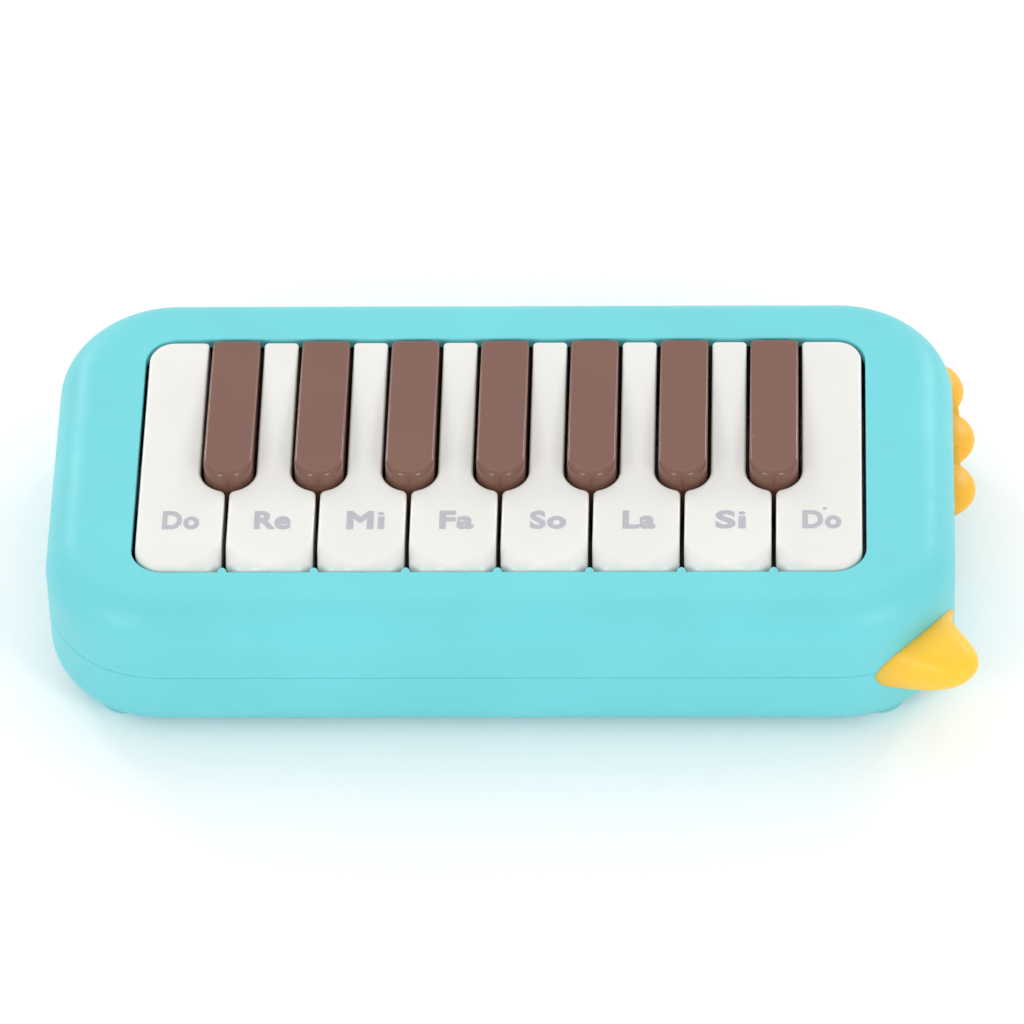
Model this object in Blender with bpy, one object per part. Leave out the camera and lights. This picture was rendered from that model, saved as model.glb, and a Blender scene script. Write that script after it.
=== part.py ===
"""Toy melodica: a rounded two-part case, fifteen hinged keys, and the wind chamber they open.

Metres, +Z up.  +X runs along the keyboard to the beak end, +Y to the back.
The origin is on the floor, under the middle of the bounding box.

Each key turns on one steel rod under the rear deck.  Its stem reaches through a tone hole and
holds a valve pad shut from below, so pressing the key drops the pad and lets air through a reed.
"""

from math import atan2, cos, exp, pi, radians, sin, sqrt

import bmesh
import bpy
from mathutils import Matrix, Vector

MM = 0.001

# Case
CASE_LENGTH = 199.3 * MM
CASE_DEPTH = 102.9 * MM
CASE_HEIGHT = 36.2 * MM
CORNER_RADIUS = 25.7 * MM
RIM_RADIUS = 9.15 * MM
WALL = 2.4 * MM
DECK_THICKNESS = 2.6 * MM
FOOT_HEIGHT = 1.2 * MM
FOOT_RADIUS = 6.0 * MM
FOOT_X = 82.8 * MM
FOOT_Y = 38.0 * MM
GAP = 0.3 * MM

# Keyboard
WHITE_KEYS = 8
KEY_PITCH = 20.0 * MM
WHITE_GAP = 1.0 * MM
WINDOW_LENGTH = 160.4 * MM
WINDOW_FRONT = -36.5 * MM
WINDOW_BACK = 35.6 * MM
WINDOW_RADIUS = 7.2 * MM
WINDOW_SIDE_GAP = 0.9 * MM
KEY_FRONT = -36.0 * MM
KEY_BACK = 34.4 * MM
WHITE_PROUD = 0.5 * MM
WHITE_CORNER = 3.5 * MM
WHITE_EDGE = 0.6 * MM
KEY_SKIRT = 9.4 * MM
KEY_WALL = 1.3 * MM
BROWN_WIDTH = 11.0 * MM
BROWN_SLOT_GAP = 0.67 * MM
BROWN_TIP_Y = -6.1 * MM
BROWN_REAR_RISE = 0.6 * MM
BROWN_FRONT_RISE = 3.6 * MM
BROWN_EDGE = 1.5 * MM
BROWN_DRAFT = 0.3 * MM
BROWN_CORNER = 1.4 * MM
WHITE_BACK_CORNER = 1.0 * MM
WHITE_ROOF = 1.8 * MM
SHOULDER_RADIUS = 1.5 * MM
NUB_RADIUS = 1.0 * MM
NUB_REACH = 1.4 * MM
NUB_HEIGHT = 7.0 * MM

# Hinge and key action
HINGE_Y = 42.0 * MM
HINGE_DROP = 6.9 * MM
ROD_RADIUS = 1.0 * MM
ROD_LENGTH = 156.0 * MM
BARREL_RADIUS = 2.6 * MM
ARM_WIDTH = 6.0 * MM
STEM_Y = 8.0 * MM
STEM_SIZE = (3.0 * MM, 5.0 * MM)
SPRING_Y = -4.0 * MM
SPRING_RADIUS = 1.6 * MM
SPRING_WIRE = 0.25 * MM
SPRING_TURNS = 4
SPRING_LENGTH = 5.8 * MM
BOSS_RADIUS = 2.0 * MM

# Wind chamber, all heights above the floor the part stands on
CHAMBER_LENGTH = 160.0 * MM
CHAMBER_FRONT = -33.0 * MM
CHAMBER_BACK = 30.0 * MM
CHAMBER_WALL = 1.6 * MM
CELL_WALL = 1.0 * MM
TRAY_Z = (4.3 * MM, 9.3 * MM)
PLATE_Z = (9.6 * MM, 10.6 * MM)
BLOCK_Z = (10.9 * MM, 21.0 * MM)
BLOCK_ROOF = 1.8 * MM
TONE_HOLE = (6.0 * MM, 10.0 * MM)
PAD_SIZE = (7.6 * MM, 13.0 * MM, 2.3 * MM)
REED_WIDTH = 2.6 * MM
REED_THICKNESS = 0.4 * MM
REED_LONG = 20.0 * MM
REED_SHORT = 11.0 * MM
REED_ROOT_Y = -7.0 * MM
TOWER_X = (-92.0 * MM, -80.4 * MM)
TOWER_WIDTH = 14.0 * MM
TOWER_TOP = 26.3 * MM
SOCKET_BORE = 4.2 * MM
SOCKET_RADIUS = 6.0 * MM

# Hinge rail, felt and screws
RAIL_Y = (39.5 * MM, 44.0 * MM)
RAIL_Z = (4.3 * MM, 26.6 * MM)
RIB_TOP = 33.3 * MM
RIB_THICKNESS = 2.0 * MM
RIB_PROUD = 0.5 * MM
RIB_X = [x * MM for x in (-75, -45, -15, 15, 45, 75)]
FELT_Y = (-31.5 * MM, -28.5 * MM)
FELT_HEIGHT = 2.9 * MM
SCREW_X = 86.0 * MM
SCREW_Y = 26.0 * MM
POST_RADIUS = 3.4 * MM
SCREW_RADIUS = 1.2 * MM
SCREW_HEAD_RADIUS = 2.7 * MM
SCREW_HEAD_HEIGHT = 1.8 * MM
SCREW_RECESS = 4.5 * MM
SCREW_TIP_Z = 30.0 * MM
LIP_THICKNESS = 1.6 * MM
LIP_OVERHANG = 0.3
COLLAR_PROUD = 1.5 * MM
COLLAR_THICKNESS = 1.5 * MM
ARM_HALF_HEIGHT = 1.9 * MM
SLOT_CLEARANCE = 0.4 * MM
SLOT_END_CLEARANCE = 0.8 * MM
TONGUE_ROOT = 4.0 * MM
TONGUE_SINK = 0.1 * MM
OVERCUT = 5.0 * MM

# Crest and beak
CREST_LOBES = 3
CREST_RADIUS = 8.2 * MM
CREST_HALF_HEIGHT = 4.2 * MM
CREST_PROUD = 5.0 * MM
CREST_PITCH = 15.6 * MM
CREST_FIRST_Y = 6.0 * MM
CREST_BAND = 1.2 * MM
BEAK_ANGLE = radians(47)
BEAK_HALF_ANGLE = radians(31)
BEAK_LENGTH = 13.0 * MM
BEAK_HALF_HEIGHT = 7.4 * MM
BEAK_RISE = 2.4 * MM
BEAK_SPREAD = 0.46
BEAK_SHARPNESS = 2.9
BEAK_FULLNESS = 0.64
BEAK_LIP = 0.06

# Worked out from the above
BASE_Z = FOOT_HEIGHT
DECK_Z = FOOT_HEIGHT + CASE_HEIGHT
SEAM_Z = FOOT_HEIGHT + CASE_HEIGHT / 2
KEY_TOP = DECK_Z + WHITE_PROUD
KEY_BOTTOM = KEY_TOP - KEY_SKIRT
HINGE_Z = DECK_Z - HINGE_DROP
HALF_LENGTH = CASE_LENGTH / 2
HALF_DEPTH = CASE_DEPTH / 2
SLOT_RADIUS = BROWN_WIDTH / 2 + BROWN_SLOT_GAP
PAD_TOP = BLOCK_Z[1] - BLOCK_ROOF - GAP
SPRING_BASE = BLOCK_Z[1] + GAP

COLOURS = {
    "turquoise": ((0.22, 0.73, 0.79), 0.42, 0.0),
    "white": ((0.88, 0.87, 0.84), 0.28, 0.0),
    "brown": ((0.27, 0.16, 0.13), 0.30, 0.0),
    "orange": ((1.0, 0.55, 0.08), 0.40, 0.0),
    "yellow": ((1.0, 0.62, 0.06), 0.40, 0.0),
    "steel": ((0.60, 0.60, 0.62), 0.30, 1.0),
    "brass": ((0.80, 0.62, 0.30), 0.35, 1.0),
    "rubber": ((0.05, 0.05, 0.05), 0.80, 0.0),
    "felt": ((0.45, 0.06, 0.07), 0.95, 0.0),
    "grey": ((0.35, 0.36, 0.38), 0.50, 0.0),
}


def clear_scene():
    for item in list(bpy.data.objects):
        bpy.data.objects.remove(item, do_unlink=True)


def new_collection(name):
    group = bpy.data.collections.new(name)
    bpy.context.scene.collection.children.link(group)
    return group


clear_scene()
PARTS = new_collection("toy_melodica")
TOOLS = new_collection("melodica_cutters")


def material(name):
    """The Principled material of that name, made the first time it is asked for."""
    found = bpy.data.materials.get(name)
    if found:
        return found
    colour, roughness, metallic = COLOURS[name]
    made = bpy.data.materials.new(name)
    made.use_nodes = True
    shader = made.node_tree.nodes["Principled BSDF"]
    shader.inputs["Base Color"].default_value = (*colour, 1.0)
    shader.inputs["Roughness"].default_value = roughness
    shader.inputs["Metallic"].default_value = metallic
    return made


def add_object(name, mesh, group, location=(0, 0, 0)):
    item = bpy.data.objects.new(name, mesh)
    item.location = location
    group.objects.link(item)
    return item


def tool(name, mesh):
    """A cutter or a piece to be joined: it shapes other objects and isn't a part itself."""
    item = add_object(name, mesh, TOOLS)
    item.hide_render = True
    item.display_type = "WIRE"
    return item


def combine(item, operation, other):
    step = item.modifiers.new(f"{operation.lower()} {other.name}", "BOOLEAN")
    step.operation = operation
    step.solver = "EXACT"
    step.object = other


def baked(item):
    """The object's mesh after its modifiers, as mesh data of its own."""
    bpy.context.view_layer.update()
    graph = bpy.context.evaluated_depsgraph_get()
    return bpy.data.meshes.new_from_object(item.evaluated_get(graph))


def finish(name, mesh, colour, location=(0, 0, 0)):
    """A part made of a finished mesh, with smooth shading and its material."""
    mesh.materials.clear()
    mesh.materials.append(material(colour))
    mesh.shade_smooth()
    mesh.set_sharp_from_angle(angle=radians(35))
    return add_object(name, mesh, PARTS, location)


# Outlines are lists of (x, y) points, anticlockwise.

def arc(centre, radius, start, end, steps):
    """Points of an arc from angle start to angle end, both in radians."""
    angles = [start + (end - start) * i / steps for i in range(steps + 1)]
    return [(centre[0] + radius * cos(a), centre[1] + radius * sin(a)) for a in angles]


def rounded_rectangle(low, high, radius, steps):
    points = []
    for quarter, (x, y) in enumerate(((high[0], high[1]), (low[0], high[1]),
                                      (low[0], low[1]), (high[0], low[1]))):
        centre = (x - radius if x == high[0] else x + radius,
                  y - radius if y == high[1] else y + radius)
        points += arc(centre, radius, quarter * pi / 2, (quarter + 1) * pi / 2, steps)
    return points


def case_outline(inset=0.0, steps=6):
    """The case seen from above; inset moves the whole outline inwards."""
    half = (HALF_LENGTH - inset, HALF_DEPTH - inset)
    return rounded_rectangle((-half[0], -half[1]), half, CORNER_RADIUS - inset, steps)


def prism(outline, low, high):
    """A flat outline given a thickness, as mesh data."""
    flat = bpy.data.curves.new("outline", "CURVE")
    flat.dimensions = "2D"
    flat.fill_mode = "BOTH"
    flat.extrude = (high - low) / 2
    spline = flat.splines.new("POLY")
    spline.points.add(len(outline) - 1)
    for point, (x, y) in zip(spline.points, outline):
        point.co = (x, y, 0, 1)
    spline.use_cyclic_u = True
    shape = bpy.data.objects.new("outline", flat)
    TOOLS.objects.link(shape)
    mesh = baked(shape)
    bpy.data.objects.remove(shape)
    bpy.data.curves.remove(flat)
    solid = bmesh.new()
    solid.from_mesh(mesh)
    bmesh.ops.remove_doubles(solid, verts=solid.verts, dist=0.01 * MM)
    bmesh.ops.dissolve_limit(solid, angle_limit=radians(0.5), verts=solid.verts, edges=solid.edges)
    bmesh.ops.translate(solid, verts=solid.verts, vec=(0, 0, (low + high) / 2))
    bmesh.ops.recalc_face_normals(solid, faces=solid.faces)
    solid.to_mesh(mesh)
    solid.free()
    return mesh


def round_rims(mesh, width, segments, top=True, bottom=False):
    """Rounds the edges round a prism's top face, its bottom face, or both."""
    solid = bmesh.new()
    solid.from_mesh(mesh)
    middle = sum(v.co.z for v in solid.verts) / len(solid.verts)
    rims = []
    for edge in solid.edges:
        if edge.calc_face_angle(0) < radians(50):
            continue
        above = all(v.co.z > middle for v in edge.verts)
        below = all(v.co.z < middle for v in edge.verts)
        if (top and above) or (bottom and below):
            rims.append(edge)
    bmesh.ops.bevel(solid, geom=rims, offset=width, segments=segments, profile=0.5,
                    affect="EDGES", clamp_overlap=False)
    solid.to_mesh(mesh)
    solid.free()
    return mesh


def boxes(spans):
    """One mesh of separate boxes, each given as its low and high corners."""
    solid = bmesh.new()
    for low, high in spans:
        low, high = Vector(low), Vector(high)
        place = Matrix.Translation((low + high) / 2) @ Matrix.Diagonal((*(high - low), 1))
        bmesh.ops.create_cube(solid, size=1, matrix=place)
    mesh = bpy.data.meshes.new("boxes")
    solid.to_mesh(mesh)
    solid.free()
    return mesh


def cylinders(spans, radius, segments=20, axis="Z"):
    """One mesh of separate cylinders, each given as the two ends of its axis."""
    turn = {"X": Matrix.Rotation(pi / 2, 4, "Y"), "Z": Matrix.Identity(4)}[axis]
    solid = bmesh.new()
    for low, high in spans:
        low, high = Vector(low), Vector(high)
        place = Matrix.Translation((low + high) / 2) @ turn
        bmesh.ops.create_cone(solid, cap_ends=True, segments=segments, radius1=radius,
                              radius2=radius, depth=(high - low).length, matrix=place)
    mesh = bpy.data.meshes.new("cylinders")
    solid.to_mesh(mesh)
    solid.free()
    return mesh


def corners(x, y):
    """The four places that mirror one another about the middle of the case."""
    return [(sx * x, sy * y) for sx in (-1, 1) for sy in (-1, 1)]


def uprights(x, y, low, high):
    """The ends of four upright axes, one at each of the places that mirror one another."""
    return [((cx, cy, low), (cx, cy, high)) for cx, cy in corners(x, y)]


def key_x(index):
    """The middle of white key index, or of the brown key after it for a half index."""
    return (index - (WHITE_KEYS - 1) / 2) * KEY_PITCH


# Case

def case_solid(inset=0.0, roof=0.0, segments=4):
    """The rounded box that the case is cut from, or the hollow inside it."""
    mesh = prism(case_outline(inset), BASE_Z + inset, DECK_Z - max(inset, roof))
    return round_rims(mesh, RIM_RADIUS - inset, segments, bottom=True)


def window():
    low = (-WINDOW_LENGTH / 2, WINDOW_FRONT)
    high = (WINDOW_LENGTH / 2, WINDOW_BACK)
    return prism(rounded_rectangle(low, high, WINDOW_RADIUS, 5), SEAM_Z, DECK_Z + OVERCUT)


def half_space(above):
    """Everything above, or below, the parting line between the two shells."""
    low = SEAM_Z + GAP / 2 if above else -CASE_HEIGHT
    high = 2 * CASE_HEIGHT if above else SEAM_Z - GAP / 2
    return boxes([((-CASE_LENGTH, -CASE_LENGTH, low), (CASE_LENGTH, CASE_LENGTH, high))])


def socket_hole():
    """Cuts the round hole for the blow socket through the left end wall."""
    ends = ((-HALF_LENGTH - OVERCUT, 0, SEAM_Z), (-HALF_LENGTH + OVERCUT, 0, SEAM_Z))
    return cylinders([ends], SOCKET_RADIUS + GAP, 20, "X")


def nubs():
    """Round-nosed guides on the front edge of the window, one between each pair of keys."""
    y = WINDOW_FRONT + NUB_REACH - NUB_RADIUS
    places = [key_x(i + 0.5) for i in range(WHITE_KEYS - 1)]
    return cylinders([((x, y, DECK_Z - NUB_HEIGHT), (x, y, DECK_Z)) for x in places],
                     NUB_RADIUS, 12)


def nub_backing():
    """The lip behind the window's front edge that carries the guides."""
    half = key_x(WHITE_KEYS - 1 + LIP_OVERHANG)
    return boxes([((-half, WINDOW_FRONT - LIP_THICKNESS, DECK_Z - NUB_HEIGHT),
                   (half, WINDOW_FRONT, DECK_Z - WALL / 2))])


def upper_shell():
    shell = tool("upper shell blank", case_solid())
    combine(shell, "DIFFERENCE", tool("case hollow", case_solid(WALL, DECK_THICKNESS)))
    combine(shell, "INTERSECT", tool("upper half", half_space(True)))
    combine(shell, "DIFFERENCE", tool("window", window()))
    combine(shell, "UNION", tool("window lip", nub_backing()))
    combine(shell, "UNION", tool("key guides", nubs()))
    posts = uprights(SCREW_X, SCREW_Y, SEAM_Z + GAP / 2, DECK_Z - WALL / 2)
    combine(shell, "UNION", tool("upper posts", cylinders(posts, POST_RADIUS, 12)))
    holes = uprights(SCREW_X, SCREW_Y, SEAM_Z - OVERCUT, SCREW_TIP_Z + 1 * MM)
    combine(shell, "DIFFERENCE", tool("pilot holes", cylinders(holes, SCREW_RADIUS + GAP, 10)))
    combine(shell, "DIFFERENCE", tool("upper socket hole", socket_hole()))
    return finish("upper_shell", baked(shell), "turquoise")


def lower_shell():
    shell = tool("lower shell blank", case_solid())
    combine(shell, "DIFFERENCE", bpy.data.objects["case hollow"])
    combine(shell, "INTERSECT", tool("lower half", half_space(False)))
    feet = uprights(FOOT_X, FOOT_Y, 0, BASE_Z + WALL)
    combine(shell, "UNION", tool("feet", cylinders(feet, FOOT_RADIUS, 20)))
    posts = uprights(SCREW_X, SCREW_Y, BASE_Z + WALL / 2, SEAM_Z - GAP / 2)
    combine(shell, "UNION", tool("lower posts", cylinders(posts, POST_RADIUS + 1 * MM, 12)))
    holes = uprights(SCREW_X, SCREW_Y, -OVERCUT, SEAM_Z + OVERCUT)
    combine(shell, "DIFFERENCE", tool("screw holes", cylinders(holes, SCREW_RADIUS + GAP, 10)))
    recesses = uprights(SCREW_X, SCREW_Y, -OVERCUT, BASE_Z + SCREW_RECESS)
    recess = cylinders(recesses, SCREW_HEAD_RADIUS + GAP, 12)
    combine(shell, "DIFFERENCE", tool("screw recesses", recess))
    combine(shell, "DIFFERENCE", bpy.data.objects["upper socket hole"])
    return finish("lower_shell", baked(shell), "turquoise")


def case_screws():
    """A flat-headed screw up through each corner post: a shank joined to a wider head."""
    top = BASE_Z + SCREW_RECESS - GAP
    for number, (x, y) in enumerate(corners(SCREW_X, SCREW_Y), 1):
        shank = cylinders([((x, y, top - GAP), (x, y, SCREW_TIP_Z))], SCREW_RADIUS, 8)
        head = cylinders([((x, y, top - SCREW_HEAD_HEIGHT), (x, y, top))], SCREW_HEAD_RADIUS, 10)
        screw = tool(f"screw {number}", shank)
        combine(screw, "UNION", tool(f"screw head {number}", head))
        finish(f"case_screw_{number}", baked(screw), "steel")


# Crest and beak

def wall_clearance():
    """The case grown by the gap that a piece glued to its wall keeps."""
    return tool("case surface", case_solid(-GAP))


def crest_band(last_y):
    """The strip along the wall that joins the crest's lobes."""
    half = 0.6 * CREST_HALF_HEIGHT
    band = tool("crest band", prism(case_outline(-CREST_BAND), SEAM_Z - half, SEAM_Z + half))
    span = boxes([((HALF_LENGTH - CORNER_RADIUS, CREST_FIRST_Y, 0),
                   (2 * HALF_LENGTH, last_y, 2 * DECK_Z))])
    combine(band, "INTERSECT", tool("crest span", span))
    return band


def crest(wall):
    """Three flattened lobes in a row round the rear right corner, cut to lie on the wall."""
    path_radius = CORNER_RADIUS + CREST_PROUD - CREST_RADIUS
    corner = Vector((HALF_LENGTH - CORNER_RADIUS, HALF_DEPTH - CORNER_RADIUS, SEAM_Z))
    lobes = []
    for number in range(CREST_LOBES):
        past_corner = CREST_FIRST_Y + number * CREST_PITCH - corner.y
        turn = max(0.0, past_corner) / path_radius
        middle = corner + Vector((path_radius * cos(turn), path_radius * sin(turn), 0))
        middle.y += min(0.0, past_corner)
        solid = bmesh.new()
        bmesh.ops.create_uvsphere(solid, u_segments=20, v_segments=10, radius=CREST_RADIUS)
        squash = Matrix.Diagonal((1, 1, CREST_HALF_HEIGHT / CREST_RADIUS, 1))
        solid.transform(Matrix.Translation(middle) @ squash)
        mesh = bpy.data.meshes.new("crest lobe")
        solid.to_mesh(mesh)
        solid.free()
        lobes.append(tool(f"crest lobe {number + 1}", mesh))
    for piece in (*lobes[1:], crest_band(middle.y)):
        combine(lobes[0], "UNION", piece)
    combine(lobes[0], "DIFFERENCE", wall)
    return finish("crest", baked(lobes[0]), "orange")


def beak_point(across, up, swell):
    """A point of the beak: across runs -1 to 1 round the corner, up -1 to 1 from base to top."""
    height = BEAK_HALF_HEIGHT * (1 - across * across) ** BEAK_FULLNESS
    nose = exp(-((abs(across) / BEAK_SPREAD) ** BEAK_SHARPNESS)) * (1 - across ** 6)
    bulge = swell * (nose + BEAK_LIP * (1 - across * across)) * sqrt(max(0.0, 1 - up * up))
    angle = BEAK_ANGLE + BEAK_HALF_ANGLE * across
    radius = CORNER_RADIUS + GAP + BEAK_LENGTH * bulge
    return Vector((HALF_LENGTH - CORNER_RADIUS + radius * sin(angle),
                   CORNER_RADIUS - HALF_DEPTH - radius * cos(angle),
                   SEAM_Z + height * up + BEAK_RISE * bulge))


def beak():
    """A rounded nose on the front right corner, lofted outwards from a lens-shaped base."""
    solid = bmesh.new()
    for swell in (0, 1):
        grid = bmesh.ops.create_grid(solid, x_segments=20, y_segments=10, size=1)
        for point in grid["verts"]:
            point.co = beak_point(point.co.x, sin(pi / 2 * point.co.y), swell)
    bmesh.ops.remove_doubles(solid, verts=solid.verts, dist=0.002 * MM)
    bmesh.ops.recalc_face_normals(solid, faces=solid.faces)
    mesh = bpy.data.meshes.new("beak")
    solid.to_mesh(mesh)
    solid.free()
    return finish("beak", mesh, "yellow")


# Keys, modelled about the plane x = 0 and then moved to their places

def mirrored(right_side):
    return right_side + [(-x, y) for x, y in reversed(right_side)]


def white_side(is_end, inset):
    """The right-hand edge of a white key from its front to its back."""
    if is_end:
        half = WINDOW_LENGTH / 2 - WINDOW_SIDE_GAP - (WHITE_KEYS - 1) / 2 * KEY_PITCH
        front = WINDOW_RADIUS - WINDOW_SIDE_GAP
        back = WINDOW_RADIUS - (WINDOW_BACK - KEY_BACK)
        return (arc((half - front, KEY_FRONT + front), front - inset, -pi / 2, 0, 4)
                + arc((half - back, KEY_BACK - back), back - inset, 0, pi / 2, 4))
    half = (KEY_PITCH - WHITE_GAP) / 2
    front = (half - WHITE_CORNER, KEY_FRONT + WHITE_CORNER)
    points = arc(front, WHITE_CORNER - inset, -pi / 2, 0, 3)
    slot = Vector((KEY_PITCH / 2, BROWN_TIP_Y))
    reach = SLOT_RADIUS + SHOULDER_RADIUS
    shoulder = Vector((half - SHOULDER_RADIUS, 0))
    shoulder.y = slot.y - sqrt(reach ** 2 - (slot.x - shoulder.x) ** 2)
    turn = atan2(slot.y - shoulder.y, slot.x - shoulder.x)
    points += arc(shoulder, SHOULDER_RADIUS - inset, 0, turn, 2)
    points += arc(slot, SLOT_RADIUS + inset, turn + pi, pi, 5)
    back = max(WHITE_BACK_CORNER - inset, 0.2 * MM)
    neck = KEY_PITCH / 2 - SLOT_RADIUS - inset
    return points + arc((neck - back, KEY_BACK - inset - back), back, 0, pi / 2, 2)


def white_outline(end, inset=0.0):
    """end is -1 or 1 for the key whose left or right side is the end of the keyboard."""
    right = white_side(end == 1, inset)
    left = white_side(end == -1, inset)
    return right + [(-x, y) for x, y in reversed(left)]


def brown_outline(inset=0.0):
    half = BROWN_WIDTH / 2 - inset
    corner = BROWN_CORNER - min(inset, BROWN_CORNER - 0.2 * MM)
    right = arc((0, BROWN_TIP_Y), half, -pi / 2, 0, 5)
    right += arc((half - corner, KEY_BACK - inset - corner), corner, 0, pi / 2, 2)
    return mirrored(right[1:]) + right[:1]


def brown_top(y):
    """The brown keys rise from the rear of the window towards their rounded front ends."""
    share = (KEY_BACK - y) / (KEY_BACK - BROWN_TIP_Y)
    return KEY_TOP + BROWN_REAR_RISE + share * (BROWN_FRONT_RISE - BROWN_REAR_RISE)


def slope_top(mesh):
    """Lays a brown key's prism top on its slope and draws its sides in towards the top."""
    solid = bmesh.new()
    solid.from_mesh(mesh)
    middle = sum(v.co.z for v in solid.verts) / len(solid.verts)
    for point in solid.verts:
        if point.co.z > middle:
            point.co.x *= 1 - BROWN_DRAFT / (BROWN_WIDTH / 2)
            point.co.y += BROWN_DRAFT if point.co.y < BROWN_TIP_Y else 0
            point.co.z = brown_top(point.co.y)
    solid.to_mesh(mesh)
    solid.free()
    return mesh


def key_hinge_arm():
    """The narrow arm that runs under the rear deck to the rod."""
    return boxes([((-ARM_WIDTH / 2, KEY_BACK - 3 * KEY_WALL, HINGE_Z - ARM_HALF_HEIGHT),
                   (ARM_WIDTH / 2, HINGE_Y, HINGE_Z + ARM_HALF_HEIGHT))])


def key_stem():
    """Reaches from the key's roof down through its tone hole to the valve pad."""
    return boxes([((-STEM_SIZE[0] / 2, STEM_Y - STEM_SIZE[1] / 2, PAD_TOP + GAP),
                   (STEM_SIZE[0] / 2, STEM_Y + STEM_SIZE[1] / 2, KEY_TOP - WHITE_ROOF / 2))])


def key_boss():
    """The post that stands on the return spring."""
    foot = SPRING_BASE + SPRING_LENGTH + GAP
    top = KEY_TOP - WHITE_ROOF / 2
    return cylinders([((0, SPRING_Y, foot), (0, SPRING_Y, top))], BOSS_RADIUS, 8)


def barrel(radius, half_length):
    """A cylinder on the hinge line."""
    ends = ((-half_length, HINGE_Y, HINGE_Z), (half_length, HINGE_Y, HINGE_Z))
    return cylinders([ends], radius, 12, "X")


def key_fittings():
    """What every key is joined to, and the hole it is cut with."""
    return {"arm": tool("key arm", key_hinge_arm()),
            "stem": tool("key stem", key_stem()),
            "boss": tool("key boss", key_boss()),
            "barrel": tool("key barrel", barrel(BARREL_RADIUS, ARM_WIDTH / 2)),
            "bore": tool("key bore", barrel(ROD_RADIUS + GAP, ARM_WIDTH))}


def key_mesh(name, cap, hollow, fittings):
    """A hollow key cap with its arm, stem, boss and barrel, moved to put the hinge at the origin."""
    blank = tool(f"{name} cap", cap)
    combine(blank, "DIFFERENCE", tool(f"{name} hollow", hollow))
    for piece in ("arm", "stem", "boss", "barrel"):
        combine(blank, "UNION", fittings[piece])
    combine(blank, "DIFFERENCE", fittings["bore"])
    mesh = baked(blank)
    mesh.transform(Matrix.Translation((0, -HINGE_Y, -HINGE_Z)))
    return mesh


def white_keys(fittings):
    meshes = {}
    for end in (-1, 0, 1):
        cap = round_rims(prism(white_outline(end), KEY_BOTTOM, KEY_TOP), WHITE_EDGE, 2)
        hollow = prism(white_outline(end, KEY_WALL), KEY_BOTTOM - OVERCUT, KEY_TOP - WHITE_ROOF)
        meshes[end] = key_mesh(f"white {end}", cap, hollow, fittings)
    for index in range(WHITE_KEYS):
        end = -1 if index == 0 else 1 if index == WHITE_KEYS - 1 else 0
        place = (key_x(index), HINGE_Y, HINGE_Z)
        finish(f"white_key_{index + 1}", meshes[end].copy(), "white", place)


def brown_keys(fittings):
    cap = round_rims(slope_top(prism(brown_outline(), KEY_BOTTOM, KEY_TOP)), BROWN_EDGE, 2)
    hollow = prism(brown_outline(KEY_WALL), KEY_BOTTOM - OVERCUT, KEY_TOP - WHITE_ROOF)
    mesh = key_mesh("brown", cap, hollow, fittings)
    for index in range(WHITE_KEYS - 1):
        place = (key_x(index + 0.5), HINGE_Y, HINGE_Z)
        finish(f"brown_key_{index + 1}", mesh.copy(), "brown", place)


def key_middles():
    """The middles of all the keys from left to right, white and brown in turn."""
    return [key_x(i / 2) for i in range(2 * WHITE_KEYS - 1)]


def valve_pads():
    """A soft pad under each tone hole, held by its key's stem."""
    half_width, half_length = PAD_SIZE[0] / 2, PAD_SIZE[1] / 2
    middle, top = STEM_Y - HINGE_Y, PAD_TOP - HINGE_Z
    for number, x in enumerate(key_middles(), 1):
        pad = boxes([((-half_width, middle - half_length, top - PAD_SIZE[2]),
                      (half_width, middle + half_length, top))])
        finish(f"valve_pad_{number}", pad, "rubber", (x, HINGE_Y, HINGE_Z))


def spring_mesh():
    """A helix of round wire standing on the wind chamber's roof."""
    coil = bpy.data.curves.new("spring", "CURVE")
    coil.dimensions = "3D"
    coil.bevel_depth = SPRING_WIRE
    coil.bevel_resolution = 0
    coil.use_fill_caps = True
    steps = 6 * SPRING_TURNS
    spline = coil.splines.new("POLY")
    spline.points.add(steps)
    for i, point in enumerate(spline.points):
        angle = 2 * pi * SPRING_TURNS * i / steps
        rise = SPRING_WIRE + (SPRING_LENGTH - 2 * SPRING_WIRE) * i / steps
        point.co = (SPRING_RADIUS * cos(angle), SPRING_RADIUS * sin(angle), rise, 1)
    shape = bpy.data.objects.new("spring", coil)
    TOOLS.objects.link(shape)
    mesh = baked(shape)
    bpy.data.objects.remove(shape)
    solid = bmesh.new()
    solid.from_mesh(mesh)
    bmesh.ops.remove_doubles(solid, verts=solid.verts, dist=0.001 * MM)
    bmesh.ops.recalc_face_normals(solid, faces=solid.faces)
    solid.to_mesh(mesh)
    solid.free()
    return mesh


def key_springs():
    mesh = spring_mesh()
    for number, x in enumerate(key_middles(), 1):
        finish(f"key_spring_{number}", mesh.copy(), "steel", (x, SPRING_Y, SPRING_BASE))


# Wind chamber

def chamber_box(low_z, high_z, inset=0.0):
    half = CHAMBER_LENGTH / 2 - inset
    return ((-half, CHAMBER_FRONT + inset, low_z), (half, CHAMBER_BACK - inset, high_z))


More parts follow.
